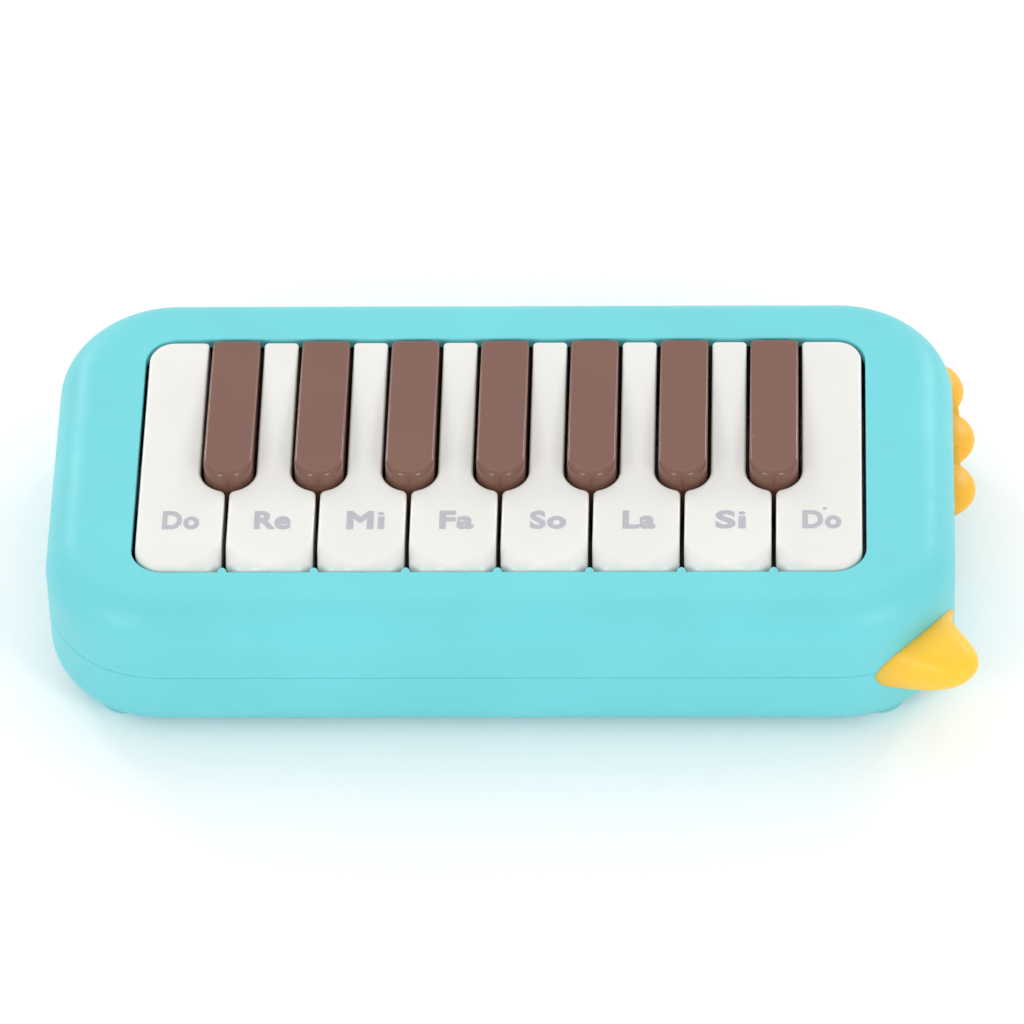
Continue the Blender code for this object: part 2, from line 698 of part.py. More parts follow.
def wind_tray():
    """The open tray under the reeds, with the tower at its left end that meets the blow socket."""
    base, rim = TRAY_Z
    floor = base + CHAMBER_WALL
    half = TOWER_WIDTH / 2
    inner = half - CHAMBER_WALL
    left, right = TOWER_X
    tray = tool("tray", boxes([chamber_box(base, rim)]))
    inlet = ((left - OVERCUT, 0, SEAM_Z), (left + 2 * CHAMBER_WALL, 0, SEAM_Z))
    joined = {
        "tower": boxes([((left, -half, base), (right, half, TOWER_TOP))]),
        "tower foot": boxes([((left, -half, base), (right + 2 * CHAMBER_WALL, half, rim))]),
    }
    removed = {
        "tray hollow": boxes([chamber_box(floor, rim + OVERCUT, CHAMBER_WALL)]),
        "duct": boxes([((left + CHAMBER_WALL, -inner, floor),
                        (right + OVERCUT, inner, rim - CELL_WALL))]),
        "tower shaft": boxes([((left + CHAMBER_WALL, -inner, floor),
                               (right - CHAMBER_WALL, inner, TOWER_TOP - CHAMBER_WALL))]),
        "inlet": cylinders([inlet], SOCKET_BORE, 20, "X"),
    }
    for operation, pieces in (("UNION", joined), ("DIFFERENCE", removed)):
        for name, mesh in pieces.items():
            combine(tray, operation, tool(name, mesh))
    return finish("wind_tray", baked(tray), "grey")


def reed_length(number):
    """Reeds shorten from the lowest note to the highest."""
    share = number / (2 * WHITE_KEYS - 2)
    return REED_LONG + share * (REED_SHORT - REED_LONG)


def reed_plate():
    """A brass plate with a slot for each note and a tongue fixed over each slot."""
    low, high = PLATE_Z
    plate = tool("plate", boxes([chamber_box(low, high)]))
    half_tongue = REED_WIDTH / 2
    half_slot = half_tongue + SLOT_CLEARANCE
    tongue_z = high - TONGUE_SINK
    slots, tongues = [], []
    for number, x in enumerate(key_middles()):
        end = REED_ROOT_Y + reed_length(number)
        slots.append(((x - half_slot, REED_ROOT_Y, low - OVERCUT),
                      (x + half_slot, end + SLOT_END_CLEARANCE, high + OVERCUT)))
        tongues.append(((x - half_tongue, REED_ROOT_Y - TONGUE_ROOT, tongue_z),
                        (x + half_tongue, end, tongue_z + REED_THICKNESS)))
    combine(plate, "DIFFERENCE", tool("reed slots", boxes(slots)))
    combine(plate, "UNION", tool("reed tongues", boxes(tongues)))
    return finish("reed_plate", baked(plate), "brass")


def reed_block():
    """The row of cells over the reeds, with a tone hole in the roof of each."""
    low, high = BLOCK_Z
    half_cell = (KEY_PITCH / 2 - CELL_WALL) / 2
    block = tool("block", boxes([chamber_box(low, high)]))
    cells, holes = [], []
    for x in key_middles():
        cells.append(((x - half_cell, CHAMBER_FRONT + CHAMBER_WALL, low - OVERCUT),
                      (x + half_cell, CHAMBER_BACK - CHAMBER_WALL, high - BLOCK_ROOF)))
        holes.append(((x - TONE_HOLE[0] / 2, STEM_Y - TONE_HOLE[1] / 2, low),
                      (x + TONE_HOLE[0] / 2, STEM_Y + TONE_HOLE[1] / 2, high + OVERCUT)))
    combine(block, "DIFFERENCE", tool("reed cells", boxes(cells)))
    combine(block, "DIFFERENCE", tool("tone holes", boxes(holes)))
    return finish("reed_block", baked(block), "grey")


def blow_socket():
    """The tube in the left end wall that a mouthpiece pushes into."""
    outer = -HALF_LENGTH + GAP
    inner = TOWER_X[0] - GAP
    seat = -HALF_LENGTH + WALL + GAP

    def turned(low, high, radius):
        return cylinders([((low, 0, SEAM_Z), (high, 0, SEAM_Z))], radius, 20, "X")

    tube = tool("socket tube", turned(outer, inner, SOCKET_RADIUS))
    collar = turned(seat, seat + COLLAR_THICKNESS, SOCKET_RADIUS + COLLAR_PROUD)
    combine(tube, "UNION", tool("socket collar", collar))
    bore = turned(outer - OVERCUT, inner + OVERCUT, SOCKET_BORE)
    combine(tube, "DIFFERENCE", tool("socket bore", bore))
    return finish("blow_socket", baked(tube), "grey")


# Hinge rail, rod and felt

def hinge_rail():
    """The wall under the rear deck, with the ribs that hold the rod."""
    front, back = RAIL_Y
    low, high = RAIL_Z
    half = ROD_LENGTH / 2
    rail = tool("rail", boxes([((-half, front, low), (half, back, high))]))
    ribs = [((x - RIB_THICKNESS / 2, front - RIB_PROUD, high - RIB_THICKNESS),
             (x + RIB_THICKNESS / 2, back + RIB_PROUD, RIB_TOP)) for x in RIB_X]
    combine(rail, "UNION", tool("rail ribs", boxes(ribs)))
    combine(rail, "DIFFERENCE", tool("rod hole", barrel(ROD_RADIUS + GAP, ROD_LENGTH)))
    return finish("hinge_rail", baked(rail), "grey")


def hinge_rod():
    return finish("hinge_rod", barrel(ROD_RADIUS, ROD_LENGTH / 2), "steel")


def stop_felt():
    """A strip on the chamber roof that the front of a pressed white key lands on."""
    half = (WHITE_KEYS - 0.5) * KEY_PITCH / 2
    base = BLOCK_Z[1] + GAP
    strip = boxes([((-half, FELT_Y[0], base), (half, FELT_Y[1], base + FELT_HEIGHT))])
    return finish("stop_felt", strip, "felt")


def place_assembly():
    """Puts the origin under the middle of the bounding box, which the crest and beak shift."""
    steps = [i / 40 for i in range(-40, 41)]
    beak_points = [beak_point(across, up, 1) for across in steps for up in steps]
    front = max(-point.y for point in beak_points)
    right = max(HALF_LENGTH + CREST_PROUD, max(point.x for point in beak_points))
    origin = bpy.data.objects.new("case_middle", None)
    origin.location = ((HALF_LENGTH - right) / 2, (front - HALF_DEPTH) / 2, 0)
    PARTS.objects.link(origin)
    for item in PARTS.objects:
        if item.type == "MESH":
            item.parent = origin


def main():
    upper_shell()
    lower_shell()
    case_screws()
    crest(wall_clearance())
    beak()
    fittings = key_fittings()
    white_keys(fittings)
    brown_keys(fittings)
    valve_pads()
    key_springs()
    wind_tray()
    reed_plate()
    reed_block()
    blow_socket()
    hinge_rail()
    hinge_rod()
    stop_felt()
    place_assembly()


main()
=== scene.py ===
"""Looks of the toy melodica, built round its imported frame.

Metres, +Z up, +X along the keyboard to the beak end, +Y to the back.  Fine meshes are drawn in
millimetres about the middle of the case, with z = 0 on the floor, and then put in their places.
"""

from math import atan2, cos, exp, pi, radians, sin, sqrt

import bmesh
import bpy
from mathutils import Matrix, Vector, noise

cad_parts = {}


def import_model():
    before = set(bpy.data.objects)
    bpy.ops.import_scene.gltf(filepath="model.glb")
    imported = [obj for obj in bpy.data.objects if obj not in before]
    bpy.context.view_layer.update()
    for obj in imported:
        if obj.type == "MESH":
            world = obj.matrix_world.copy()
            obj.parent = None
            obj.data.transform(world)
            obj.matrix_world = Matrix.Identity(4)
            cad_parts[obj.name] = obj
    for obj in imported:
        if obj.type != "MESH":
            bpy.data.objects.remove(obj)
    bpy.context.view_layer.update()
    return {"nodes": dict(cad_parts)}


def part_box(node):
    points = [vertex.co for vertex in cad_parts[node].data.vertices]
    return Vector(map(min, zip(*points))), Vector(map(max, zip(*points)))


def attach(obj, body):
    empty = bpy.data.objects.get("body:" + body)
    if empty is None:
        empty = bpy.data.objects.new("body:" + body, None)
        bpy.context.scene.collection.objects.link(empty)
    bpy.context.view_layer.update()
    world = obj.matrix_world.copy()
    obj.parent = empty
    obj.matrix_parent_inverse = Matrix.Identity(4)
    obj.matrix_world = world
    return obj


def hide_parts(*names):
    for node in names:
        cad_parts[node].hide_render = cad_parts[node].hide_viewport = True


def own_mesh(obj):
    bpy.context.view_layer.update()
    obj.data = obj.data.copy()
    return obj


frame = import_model()

MM = 0.001
CASE_LOW, CASE_HIGH = (Vector(corner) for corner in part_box("upper_shell"))
MIDDLE = Vector(((CASE_LOW.x + CASE_HIGH.x) / 2, (CASE_LOW.y + CASE_HIGH.y) / 2, 0))


def box_mm(node):
    """The lowest and highest corners of a CAD node, in millimetres about the case middle."""
    low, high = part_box(node)
    return (low - MIDDLE) / MM, (high - MIDDLE) / MM


# Sizes read from the frame
HALF_LENGTH, HALF_DEPTH, DECK_Z = box_mm("upper_shell")[1]
SEAM_Z = (box_mm("upper_shell")[0].z + box_mm("lower_shell")[1].z) / 2
SEAM_GAP = 0.12
UPPER_Z = SEAM_Z + SEAM_GAP / 2
LOWER_Z = SEAM_Z - SEAM_GAP / 2
KEY_TOP = box_mm("white_key_4")[1].z
KEY_FRONT = box_mm("white_key_4")[0].y
PAD_LOW, PAD_HIGH = box_mm("valve_pad_1")
SPRING_LOW, SPRING_HIGH = box_mm("key_spring_1")
FELT_LOW, FELT_HIGH = box_mm("stop_felt")

# Case
BASE_Z = 1.2
CORNER_RADIUS = 25.7
RIM_RADIUS = 9.15
WALL = 2.4
DECK_THICKNESS = 2.6
SEAM_BEVEL = 0.13
SEAM_DEPTH = 0.6
SEAM_ROUND = 0.35
RIM_MARGIN = 0.8
FLAT_MARGIN = 0.6
TONGUE = 1.2
# Places (x, y) of the feet and the screws, mirrored to all four corners
FOOT = (82.8, 38.0)
SCREW = (86.0, 26.0)
FOOT_RADIUS = 6.1
FOOT_EDGE = 0.5
POST_RADIUS = 3.4
SCREW_RADIUS = 1.2
SCREW_HEAD_RADIUS = 2.7
SCREW_HEAD_HEIGHT = 1.8
RECESS_TOP = BASE_Z + 4.5
SCREW_TIP = 30.0
CLEARANCE = 0.3
OVERCUT = 5.0
SOCKET_RADIUS = 6.0
SOCKET_BORE = 4.2
COLLAR_RADIUS = 7.5
COLLAR_WIDTH = 1.5

# Keyboard
WHITE_KEYS = 8
PITCH = 20.0
# The window's half width, front and back
WINDOW = (80.2, -36.5, 35.6)
WINDOW_RADIUS = 7.2
WINDOW_EDGE = 0.45
NUB_RADIUS = 1.0
NUB_REACH = 1.4
NUB_HEIGHT = 7.0
LIP = 1.6
KEY_BACK = 34.4
WHITE_BACK = 34.1
KEY_BOTTOM = KEY_TOP - 9.4
KEY_WALL = 1.3
ROOF = 1.8
END_HALF = 9.3
END_FRONT_RADIUS = 6.3
END_BACK_RADIUS = 5.6
WHITE_HALF = 9.5
WHITE_CORNER = 4.6
SHOULDER = 1.5
WHITE_EDGE = 0.65
BROWN_HALF = 5.62
BROWN_TIP = -6.1
SLOT_RADIUS = 6.17
# How far a brown key stands over the white ones at its back and at its tip
BROWN_RISE = (0.6, 3.6)
BROWN_EDGE = 0.6
BROWN_FRONT_EDGE = 1.6
BROWN_DRAFT = 0.3
BROWN_CORNER = 1.4

# Key action
# The hinge line's y and z, the arm's half width and half thickness, and the stem's y, half
# width and half depth
HINGE = (42.0, 30.5)
ARM = (3.0, 1.9)
STEM = (8.0, 1.5, 2.5)
ROD_RADIUS = 1.0
BARREL_RADIUS = 2.6
SPRING_Y = -4.0
SPRING_TURNS = 4
WIRE = 0.25
BOSS_RADIUS = 2.0

# Crest and beak
CREST_RADIUS = 8.2
CREST_HALF_HEIGHT = 4.2
CREST_PROUD = 5.0
CREST_PITCH = 15.6
CREST_FIRST_Y = 6.0
CREST_REAR_GROWTH = 1.07
CREST_BAND = 1.7
CREST_BAND_SHARE = 0.6
# How far from the case wall the crest's painted glow reaches
CREST_GLOW_REACH = 4.0
BEAK_ANGLE = radians(48.6)
BEAK_HALF_ANGLE = radians(30.5)
BEAK_LENGTH = 13.1
BEAK_HALF_HEIGHT = 7.4
BEAK_DROP = 1.2
BEAK_RISE = 3.6
BEAK_PEAK = -0.05
BEAK_SPREAD = 0.47
BEAK_SHARPNESS = 2.5
BEAK_FULLNESS = 0.64
BEAK_LIP = 0.06
# How fast the beak falls away below and above its ridge
BEAK_SLOPES = (0.62, 0.95)
BEAK_SEAT = 0.04
# How far from the case wall the beak's painted glow reaches
BEAK_GLOW_REACH = 6.0
SINK = 0.35

# Labels
LABELS = ("Do", "Re", "M\u0131", "Fa", "So", "La", "S\u0131", "Do")
LABEL_Y = -21.4
LABEL_SIZES = (8.1, 8.0, 8.3, 7.5, 7.9, 7.2, 6.6, 8.5)
LABEL_HEIGHT = 5.6
LABEL_SHIFT = (0.3, 0.4, 0.8, 0.7, 0.7, 0.6, 0.6, 0.5)
LETTER_GROWTH = 0.35
LETTER_VOXEL = 0.07
INK = 0.08
# The dots' x, y, half width and half height; a letter's dot is set from the label's right end
OCTAVE_DOT = (0.6, 3.3, 0.42, 0.42)
LETTER_DOT = (0.85, 1.95, 0.75, 0.5)


# Shapes in code

def arc(centre, radius, start, end, steps):
    angles = [start + (end - start) * i / steps for i in range(steps + 1)]
    return [(centre[0] + radius * cos(a), centre[1] + radius * sin(a)) for a in angles]


def smooth(value):
    """0 below 0, 1 above 1 and an even curve between them."""
    share = min(1.0, max(0.0, value))
    return share * share * (3 - 2 * share)


def level(outline, z):
    """The outline at one height."""
    return [Vector((x, y, z)) for x, y in outline]


def key_x(index):
    return (index - (WHITE_KEYS - 1) / 2) * PITCH


def loft(loops, closed=False):
    """Joins loops of equally many points with quads, and caps the two ends unless closed."""
    made = bmesh.new()
    rows = [[made.verts.new(point) for point in row] for row in loops]
    pairs = list(zip(rows, rows[1:]))
    if closed:
        pairs.append((rows[-1], rows[0]))
    else:
        made.faces.new(list(reversed(rows[0])))
        made.faces.new(rows[-1])
    for first, second in pairs:
        for i in range(len(first)):
            j = (i + 1) % len(first)
            made.faces.new((first[i], first[j], second[j], second[i]))
    bmesh.ops.remove_doubles(made, verts=made.verts, dist=0.0005)
    bmesh.ops.dissolve_degenerate(made, edges=made.edges, dist=0.0005)
    bmesh.ops.recalc_face_normals(made, faces=made.faces)
    mesh = bpy.data.meshes.new("loft")
    made.to_mesh(mesh)
    made.free()
    return mesh


def box(low, high):
    low, high = Vector(low), Vector(high)
    fit = Matrix.Translation((low + high) / 2) @ Matrix.Diagonal((*(high - low), 1))
    made = bmesh.new()
    bmesh.ops.create_cube(made, size=1, matrix=fit)
    mesh = bpy.data.meshes.new("box")
    made.to_mesh(mesh)
    made.free()
    return mesh


def turned(profile, at=(0, 0, 0), along="Z", steps=40, inner=False):
    """A profile of (radius, height) pairs turned round an axis; inner closes it on itself."""
    loops = []
    for radius, height in profile:
        ring = arc((0, 0), radius, 0, 2 * pi, steps)[:-1]
        loops.append([Vector((x, y, height)) for x, y in ring])
    mesh = loft(loops, closed=inner)
    if along == "X":
        mesh.transform(Matrix.Rotation(pi / 2, 4, "Y"))
    mesh.transform(Matrix.Translation(at))
    return mesh


def rounded(radius, low, high, edge=0.0):
    """The profile of a cylinder whose ends have rounded edges."""
    if not edge:
        return [(radius, low), (radius, high)]
    turn = [pi / 2 * i / 5 for i in range(6)]
    start = [(radius - edge + edge * sin(a), low + edge - edge * cos(a)) for a in turn]
    end = [(radius - edge + edge * cos(a), high - edge + edge * sin(a)) for a in turn]
    return start + end


def shaped(mesh, *steps):
    """The mesh after the given boolean steps, each an operation and another mesh."""
    blank = bpy.data.objects.new("blank", mesh)
    bpy.context.scene.collection.objects.link(blank)
    others = []
    for operation, other in steps:
        item = bpy.data.objects.new("tool", other)
        bpy.context.scene.collection.objects.link(item)
        others.append(item)
        step = blank.modifiers.new("step", "BOOLEAN")
        step.operation = operation
        step.solver = "EXACT"
        step.object = item
    bpy.context.view_layer.update()
    graph = bpy.context.evaluated_depsgraph_get()
    made = bpy.data.meshes.new_from_object(blank.evaluated_get(graph))
    for item in (blank, *others):
        bpy.data.objects.remove(item)
    return made


LEAST_WIDTH = 0.05
FULL_BEND = 1.2


def mark_edges(mesh):
    """Stores how sharply each point of the mesh turns outwards, from 0 to 1, for wear."""
    made = bmesh.new()
    made.from_mesh(mesh)
    turn = []
    for point in made.verts:
        bend = 0.0
        for edge in point.link_edges:
            if len(edge.link_faces) == 2:
                width = sum(face.calc_area() for face in edge.link_faces) / edge.calc_length()
                angle = edge.calc_face_angle_signed(0)
                bend = max(bend, 2 * angle / max(width, LEAST_WIDTH))
        turn.append(min(1.0, max(0.0, bend / FULL_BEND)))
    made.free()
    attribute = mesh.attributes.new("edge", "FLOAT", "POINT")
    attribute.data.foreach_set("value", turn)


def place(name, mesh, look, body, at=(0, 0), replaces=(), angle=35, wear=True):
    """Puts a mesh drawn in millimetres in the scene as a piece that rides on a body."""
    if wear:
        mark_edges(mesh)
    mesh.transform(Matrix.Translation(MIDDLE + Vector((at[0], at[1], 0)) * MM)
                   @ Matrix.Scale(MM, 4))
    mesh.materials.clear()
    mesh.materials.append(look)
    mesh.shade_smooth()
    mesh.set_sharp_from_angle(angle=radians(angle))
    piece = bpy.data.objects.new(name, mesh)
    bpy.context.scene.collection.objects.link(piece)
    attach(piece, body)
    if replaces:
        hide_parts(*replaces)
    return piece


# Materials

class Look:
    """A Principled material and the few node steps that all of them share."""

    def __init__(self, name, colour, roughness, **constants):
        self.material = bpy.data.materials.new(name)
        self.material.use_nodes = True
        self.nodes = self.material.node_tree.nodes
        self.links = self.material.node_tree.links
        self.shader = self.nodes["Principled BSDF"]
        self.shader.inputs["Base Color"].default_value = (*colour, 1)
        self.shader.inputs["Roughness"].default_value = roughness
        for socket, value in constants.items():
            self.shader.inputs[socket.replace("_", " ")].default_value = value
        self.colour = (*colour, 1)
        self.roughness = roughness
        coordinates = self.nodes.new("ShaderNodeTexCoord")
        self.where = coordinates.outputs["Object"]

    def noise(self, size, detail=3.0, stretch=None, offset=0.0):
        """Noise whose blobs are about size millimetres across."""
        made = self.nodes.new("ShaderNodeTexNoise")
        made.inputs["Scale"].default_value = 1 / (size * MM)
        made.inputs["Detail"].default_value = detail
        where = self.where
        if stretch or offset:
            mapping = self.nodes.new("ShaderNodeMapping")
            mapping.inputs["Scale"].default_value = stretch or (1, 1, 1)
            mapping.inputs["Location"].default_value = (offset, offset, offset)
            self.links.new(where, mapping.inputs["Vector"])
            where = mapping.outputs["Vector"]
        self.links.new(where, made.inputs["Vector"])
        return made.outputs["Fac"]

    def cells(self, size):
        made = self.nodes.new("ShaderNodeTexVoronoi")
        made.inputs["Scale"].default_value = 1 / (size * MM)
        self.links.new(self.where, made.inputs["Vector"])
        return made.outputs["Distance"]

    def spread(self, source, low, high, to_low=0.0, to_high=1.0):
        """Maps the range low to high of source on to to_low to to_high, and clamps it there."""
        made = self.nodes.new("ShaderNodeMapRange")
        made.inputs["From Min"].default_value = low
        made.inputs["From Max"].default_value = high
        made.inputs["To Min"].default_value = to_low
        made.inputs["To Max"].default_value = to_high
        self.links.new(source, made.inputs["Value"])
        return made.outputs["Result"]

    def math(self, operation, first, second):
        made = self.nodes.new("ShaderNodeMath")
        made.operation = operation
        for socket, value in zip(made.inputs, (first, second)):
            if isinstance(value, (int, float)):
                socket.default_value = value
            else:
                self.links.new(value, socket)
        return made.outputs["Value"]

    def mix(self, share, first, second):
        """Colours first and second, mixed by share."""
        made = self.nodes.new("ShaderNodeMix")
        made.data_type = "RGBA"
        for socket, value in ((made.inputs[0], share), (made.inputs[6], first),
                              (made.inputs[7], second)):
            if isinstance(value, (int, float, tuple)):
                socket.default_value = value
            else:
                self.links.new(value, socket)
        return made.outputs[2]

    def attribute(self, name):
        made = self.nodes.new("ShaderNodeAttribute")
        made.attribute_name = name
        return made.outputs["Fac"]

    def bumps(self, *layers):
        """Stacks bump layers, each a height source and its depth in millimetres."""
        normal = None
        for source, depth in layers:
            made = self.nodes.new("ShaderNodeBump")
            made.inputs["Strength"].default_value = 1.0
            made.inputs["Distance"].default_value = depth * MM
            self.links.new(source, made.inputs["Height"])
            if normal:
                self.links.new(normal, made.inputs["Normal"])
            normal = made.outputs["Normal"]
        self.links.new(normal, self.shader.inputs["Normal"])

    def feed(self, socket, source):
        self.links.new(source, self.shader.inputs[socket])


def shade(colour, factor):
    """The colour made lighter or darker, with an alpha of 1."""
    return (*(min(1.0, part * factor) for part in colour), 1)


def moulded(name, colour, roughness, grain=0.004, peel=0.006, worn=None, specks=0.35,
            handled=1.0, root=None, **constants):
    """Moulded plastic: cloudy colour, fine grain, handling marks, edges rubbed lighter, and an
    optional painted glow near the case wall.
    """
    look = Look(name, colour, roughness, **constants)
    cloud = look.noise(28, 2)
    base = look.mix(look.spread(cloud, 0.35, 0.65), shade(colour, 0.975), shade(colour, 1.02))
    edges = look.attribute("edge")
    patches = look.spread(look.noise(3.0, 4), 0.4, 0.7)
    rubbed = look.math("MULTIPLY", edges, patches)
    base = look.mix(look.math("MULTIPLY", rubbed, 0.35), base, worn or shade(colour, 1.18))
    # Painted glow: near the case wall the colour turns to the root colour, standing in for light
    # bounced through the plastic that lifts the shade there
    if root:
        base = look.mix(look.math("MULTIPLY", look.attribute("root"), 0.8), base, root)
    dust = look.math("MULTIPLY", look.spread(look.cells(5.5), 0.035, 0.02),
                     look.spread(look.noise(9, 2, offset=3.1), 0.56, 0.6))
    base = look.mix(look.math("MULTIPLY", dust, specks), base, (0.93, 0.93, 0.92, 1))
    look.feed("Base Color", base)
    smears = look.spread(look.noise(16, 5, stretch=(1, 2.2, 1), offset=1.7), 0.38, 0.66,
                         -0.03 * handled, 0.04 * handled)
    marks = look.spread(look.noise(1.3, 3, stretch=(0.18, 1, 1), offset=5.2), 0.62, 0.74,
                        0, 0.04 * handled)
    uneven = look.math("ADD", look.math("ADD", smears, marks), look.roughness)
    look.feed("Roughness", look.math("SUBTRACT", uneven, look.math("MULTIPLY", rubbed, 0.10)))
    look.bumps((look.noise(0.35, 2), grain), (look.noise(6.0, 2), peel))
    return look.material


def metal(name, colour, roughness, grain):
    """Drawn or rolled metal with a grain along X, tarnish and fine scratches."""
    look = Look(name, colour, roughness, Metallic=1.0)
    tarnish = look.spread(look.noise(7, 5), 0.42, 0.68)
    look.feed("Base Color", look.mix(tarnish, shade(colour, 1.04), shade(colour, 0.72)))
    streaks = look.noise(0.5, 3, stretch=grain)
    rough = look.math("ADD", look.spread(streaks, 0.3, 0.7, -0.06, 0.1), look.roughness)
    look.feed("Roughness", look.math("ADD", rough, look.math("MULTIPLY", tarnish, 0.12)))
    look.bumps((streaks, 0.004), (look.noise(2.0, 2), 0.003))
    return look.material


def rubber(name, colour):
    look = Look(name, colour, 0.75)
    look.feed("Base Color", look.mix(look.spread(look.noise(2.5, 4), 0.4, 0.65),
                                     shade(colour, 0.8), shade(colour, 1.6)))
    look.feed("Roughness", look.spread(look.noise(1.1, 3), 0.3, 0.7, 0.66, 0.86))
    look.bumps((look.noise(0.18, 3), 0.012), (look.cells(0.6), 0.01))
    return look.material


def felted(name, colour):
    look = Look(name, colour, 0.95, Sheen_Weight=0.5, Sheen_Roughness=0.4)
    fibres = look.noise(0.22, 4, stretch=(0.4, 1, 1))
    look.feed("Base Color", look.mix(look.spread(fibres, 0.35, 0.7),
                                     shade(colour, 0.55), shade(colour, 1.5)))
    look.feed("Roughness", look.spread(fibres, 0.3, 0.7, 0.88, 1.0))
    look.bumps((fibres, 0.08), (look.noise(0.8, 3), 0.1))
    return look.material


def printed(name, colour):
    """Ink pad-printed on the keys: slightly uneven, rougher than the plastic round it."""
    look = Look(name, colour, 0.42)
    thin = look.spread(look.noise(0.5, 4), 0.52, 0.72)
    look.feed("Base Color", look.mix(look.math("MULTIPLY", thin, 0.25), look.colour,
                                     (0.86, 0.85, 0.84, 1)))
    look.feed("Roughness", look.spread(look.noise(0.9, 3), 0.3, 0.7, 0.36, 0.5))
    look.bumps((look.noise(0.2, 2), 0.003))
    return look.material


TURQUOISE = (0.146, 0.610, 0.660)
WHITE = (0.755, 0.75, 0.715)
BROWN = (0.182, 0.083, 0.058)

GLOW = {"Subsurface_Weight": 0.5, "Subsurface_Radius": (1.0, 0.55, 0.15),
        "Subsurface_Scale": 4 * MM}

CASE_LOOK = moulded("case_plastic", TURQUOISE, 0.44)
WHITE_LOOK = moulded("white_key_plastic", WHITE, 0.28, grain=0.0012, peel=0.001,
                     worn=(0.84, 0.84, 0.80, 1), specks=0.0, handled=0.15,
                     Subsurface_Weight=0.2, Subsurface_Radius=(1.0, 0.9, 0.6),
                     Subsurface_Scale=2.5 * MM)
BROWN_LOOK = moulded("brown_key_plastic", BROWN, 0.235, grain=0.0006, peel=0.0005, handled=0.06)
# The root colours paint a warm glow near the case wall, standing in for light bounced through the
# orange plastic
CREST_LOOK = moulded("crest_plastic", (0.92, 0.475, 0.026), 0.42, root=(1.0, 0.42, 0.02, 1),
                     **GLOW)
BEAK_LOOK = moulded("beak_plastic", (0.93, 0.57, 0.030), 0.42, root=(1.0, 0.50, 0.05, 1),
                    **GLOW)
INNER_LOOK = moulded("inner_plastic", (0.42, 0.42, 0.43), 0.5, grain=0.01)
STEEL_LOOK = metal("steel", (0.60, 0.60, 0.62), 0.28, (0.05, 1, 1))
BRASS_LOOK = metal("brass", (0.80, 0.60, 0.28), 0.34, (1, 0.06, 1))
PAD_LOOK = rubber("pad_rubber", (0.035, 0.035, 0.038))
FELT_LOOK = felted("felt_red", (0.42, 0.05, 0.06))
LABEL_LOOK = printed("label_ink", (0.42, 0.42, 0.465))


# Case

RING = 16
NUB_STEPS = 10
RIM_STEPS = 18
INNER_STEPS = 8
# How far outside the window's rounded edge the last two rows of points on the deck lie
DECK_ROWS = (0.25, 0.08)


def front_columns(outset=0.0, guides=True):
    """Points along the window's front edge from left to right, with or without the guides."""
    radius = NUB_RADIUS - outset if guides else NUB_RADIUS - WINDOW_EDGE
    reach = (NUB_REACH - outset) / radius
    columns = []
    for index in range(WHITE_KEYS - 1):
        middle = key_x(index + 0.5)
        half_round = list(reversed(arc((middle, 0), radius, 0, pi, NUB_STEPS)))
        half_round = [(x, y * reach if guides else -outset) for x, y in half_round]
        columns += [(middle - radius, -outset), *half_round, (middle + radius, -outset)]
        if index < WHITE_KEYS - 2:
            columns += [(middle + share * PITCH, -outset) for share in (0.25, 0.5, 0.75)]
    return columns


def rounded_loop(low, high, radius, front):
    """A rounded rectangle with a fixed count of points; front are the points of its front side."""
    points = []
    for quarter, (x, y) in enumerate(((high[0], high[1]), (low[0], high[1]),
                                      (low[0], low[1]), (high[0], low[1]))):
        centre = (x - radius if x == high[0] else x + radius,
                  y - radius if y == high[1] else y + radius)
        points += arc(centre, radius, quarter * pi / 2, (quarter + 1) * pi / 2, RING)
        if quarter == 2:
            points += front
    return points


def case_loop(inset, z):
    half = (HALF_LENGTH - inset, HALF_DEPTH - inset)
    spread = (HALF_LENGTH - CORNER_RADIUS) / (WINDOW[0] - WINDOW_RADIUS)
    front = [(x * spread, -half[1]) for x, _ in front_columns(guides=False)]
    return level(rounded_loop((-half[0], -half[1]), half, CORNER_RADIUS - inset, front), z)


def window_loop(outset, z, guides=True):
    """The edge of the window; z may be a function of how far forward a point is, 0 to 1."""
    low = (-WINDOW[0] - outset, WINDOW[1] - outset)
    high = (WINDOW[0] + outset, WINDOW[2] + outset)
    front = [(x, WINDOW[1] + y) for x, y in front_columns(outset, guides)]
    outline = rounded_loop(low, high, WINDOW_RADIUS + outset, front)
    if not callable(z):
        return level(outline, z)
    reach = WINDOW[1] + WINDOW_RADIUS
    return [Vector((x, y, z(smooth((reach - y) / WINDOW_RADIUS)))) for x, y in outline]


def rim(inset, radius, top, steps=RIM_STEPS, upwards=True):
    """Loops of the rounded rim from the wall to the flat, on the upper or the lower side."""
    loops = []
    for i in range(steps + 1):
        turn = pi / 2 * i / steps
        drop = radius * (1 - sin(turn))
        z = top - drop if upwards else top + drop
        loops.append(case_loop(inset + radius * (1 - cos(turn)), z))
    return loops


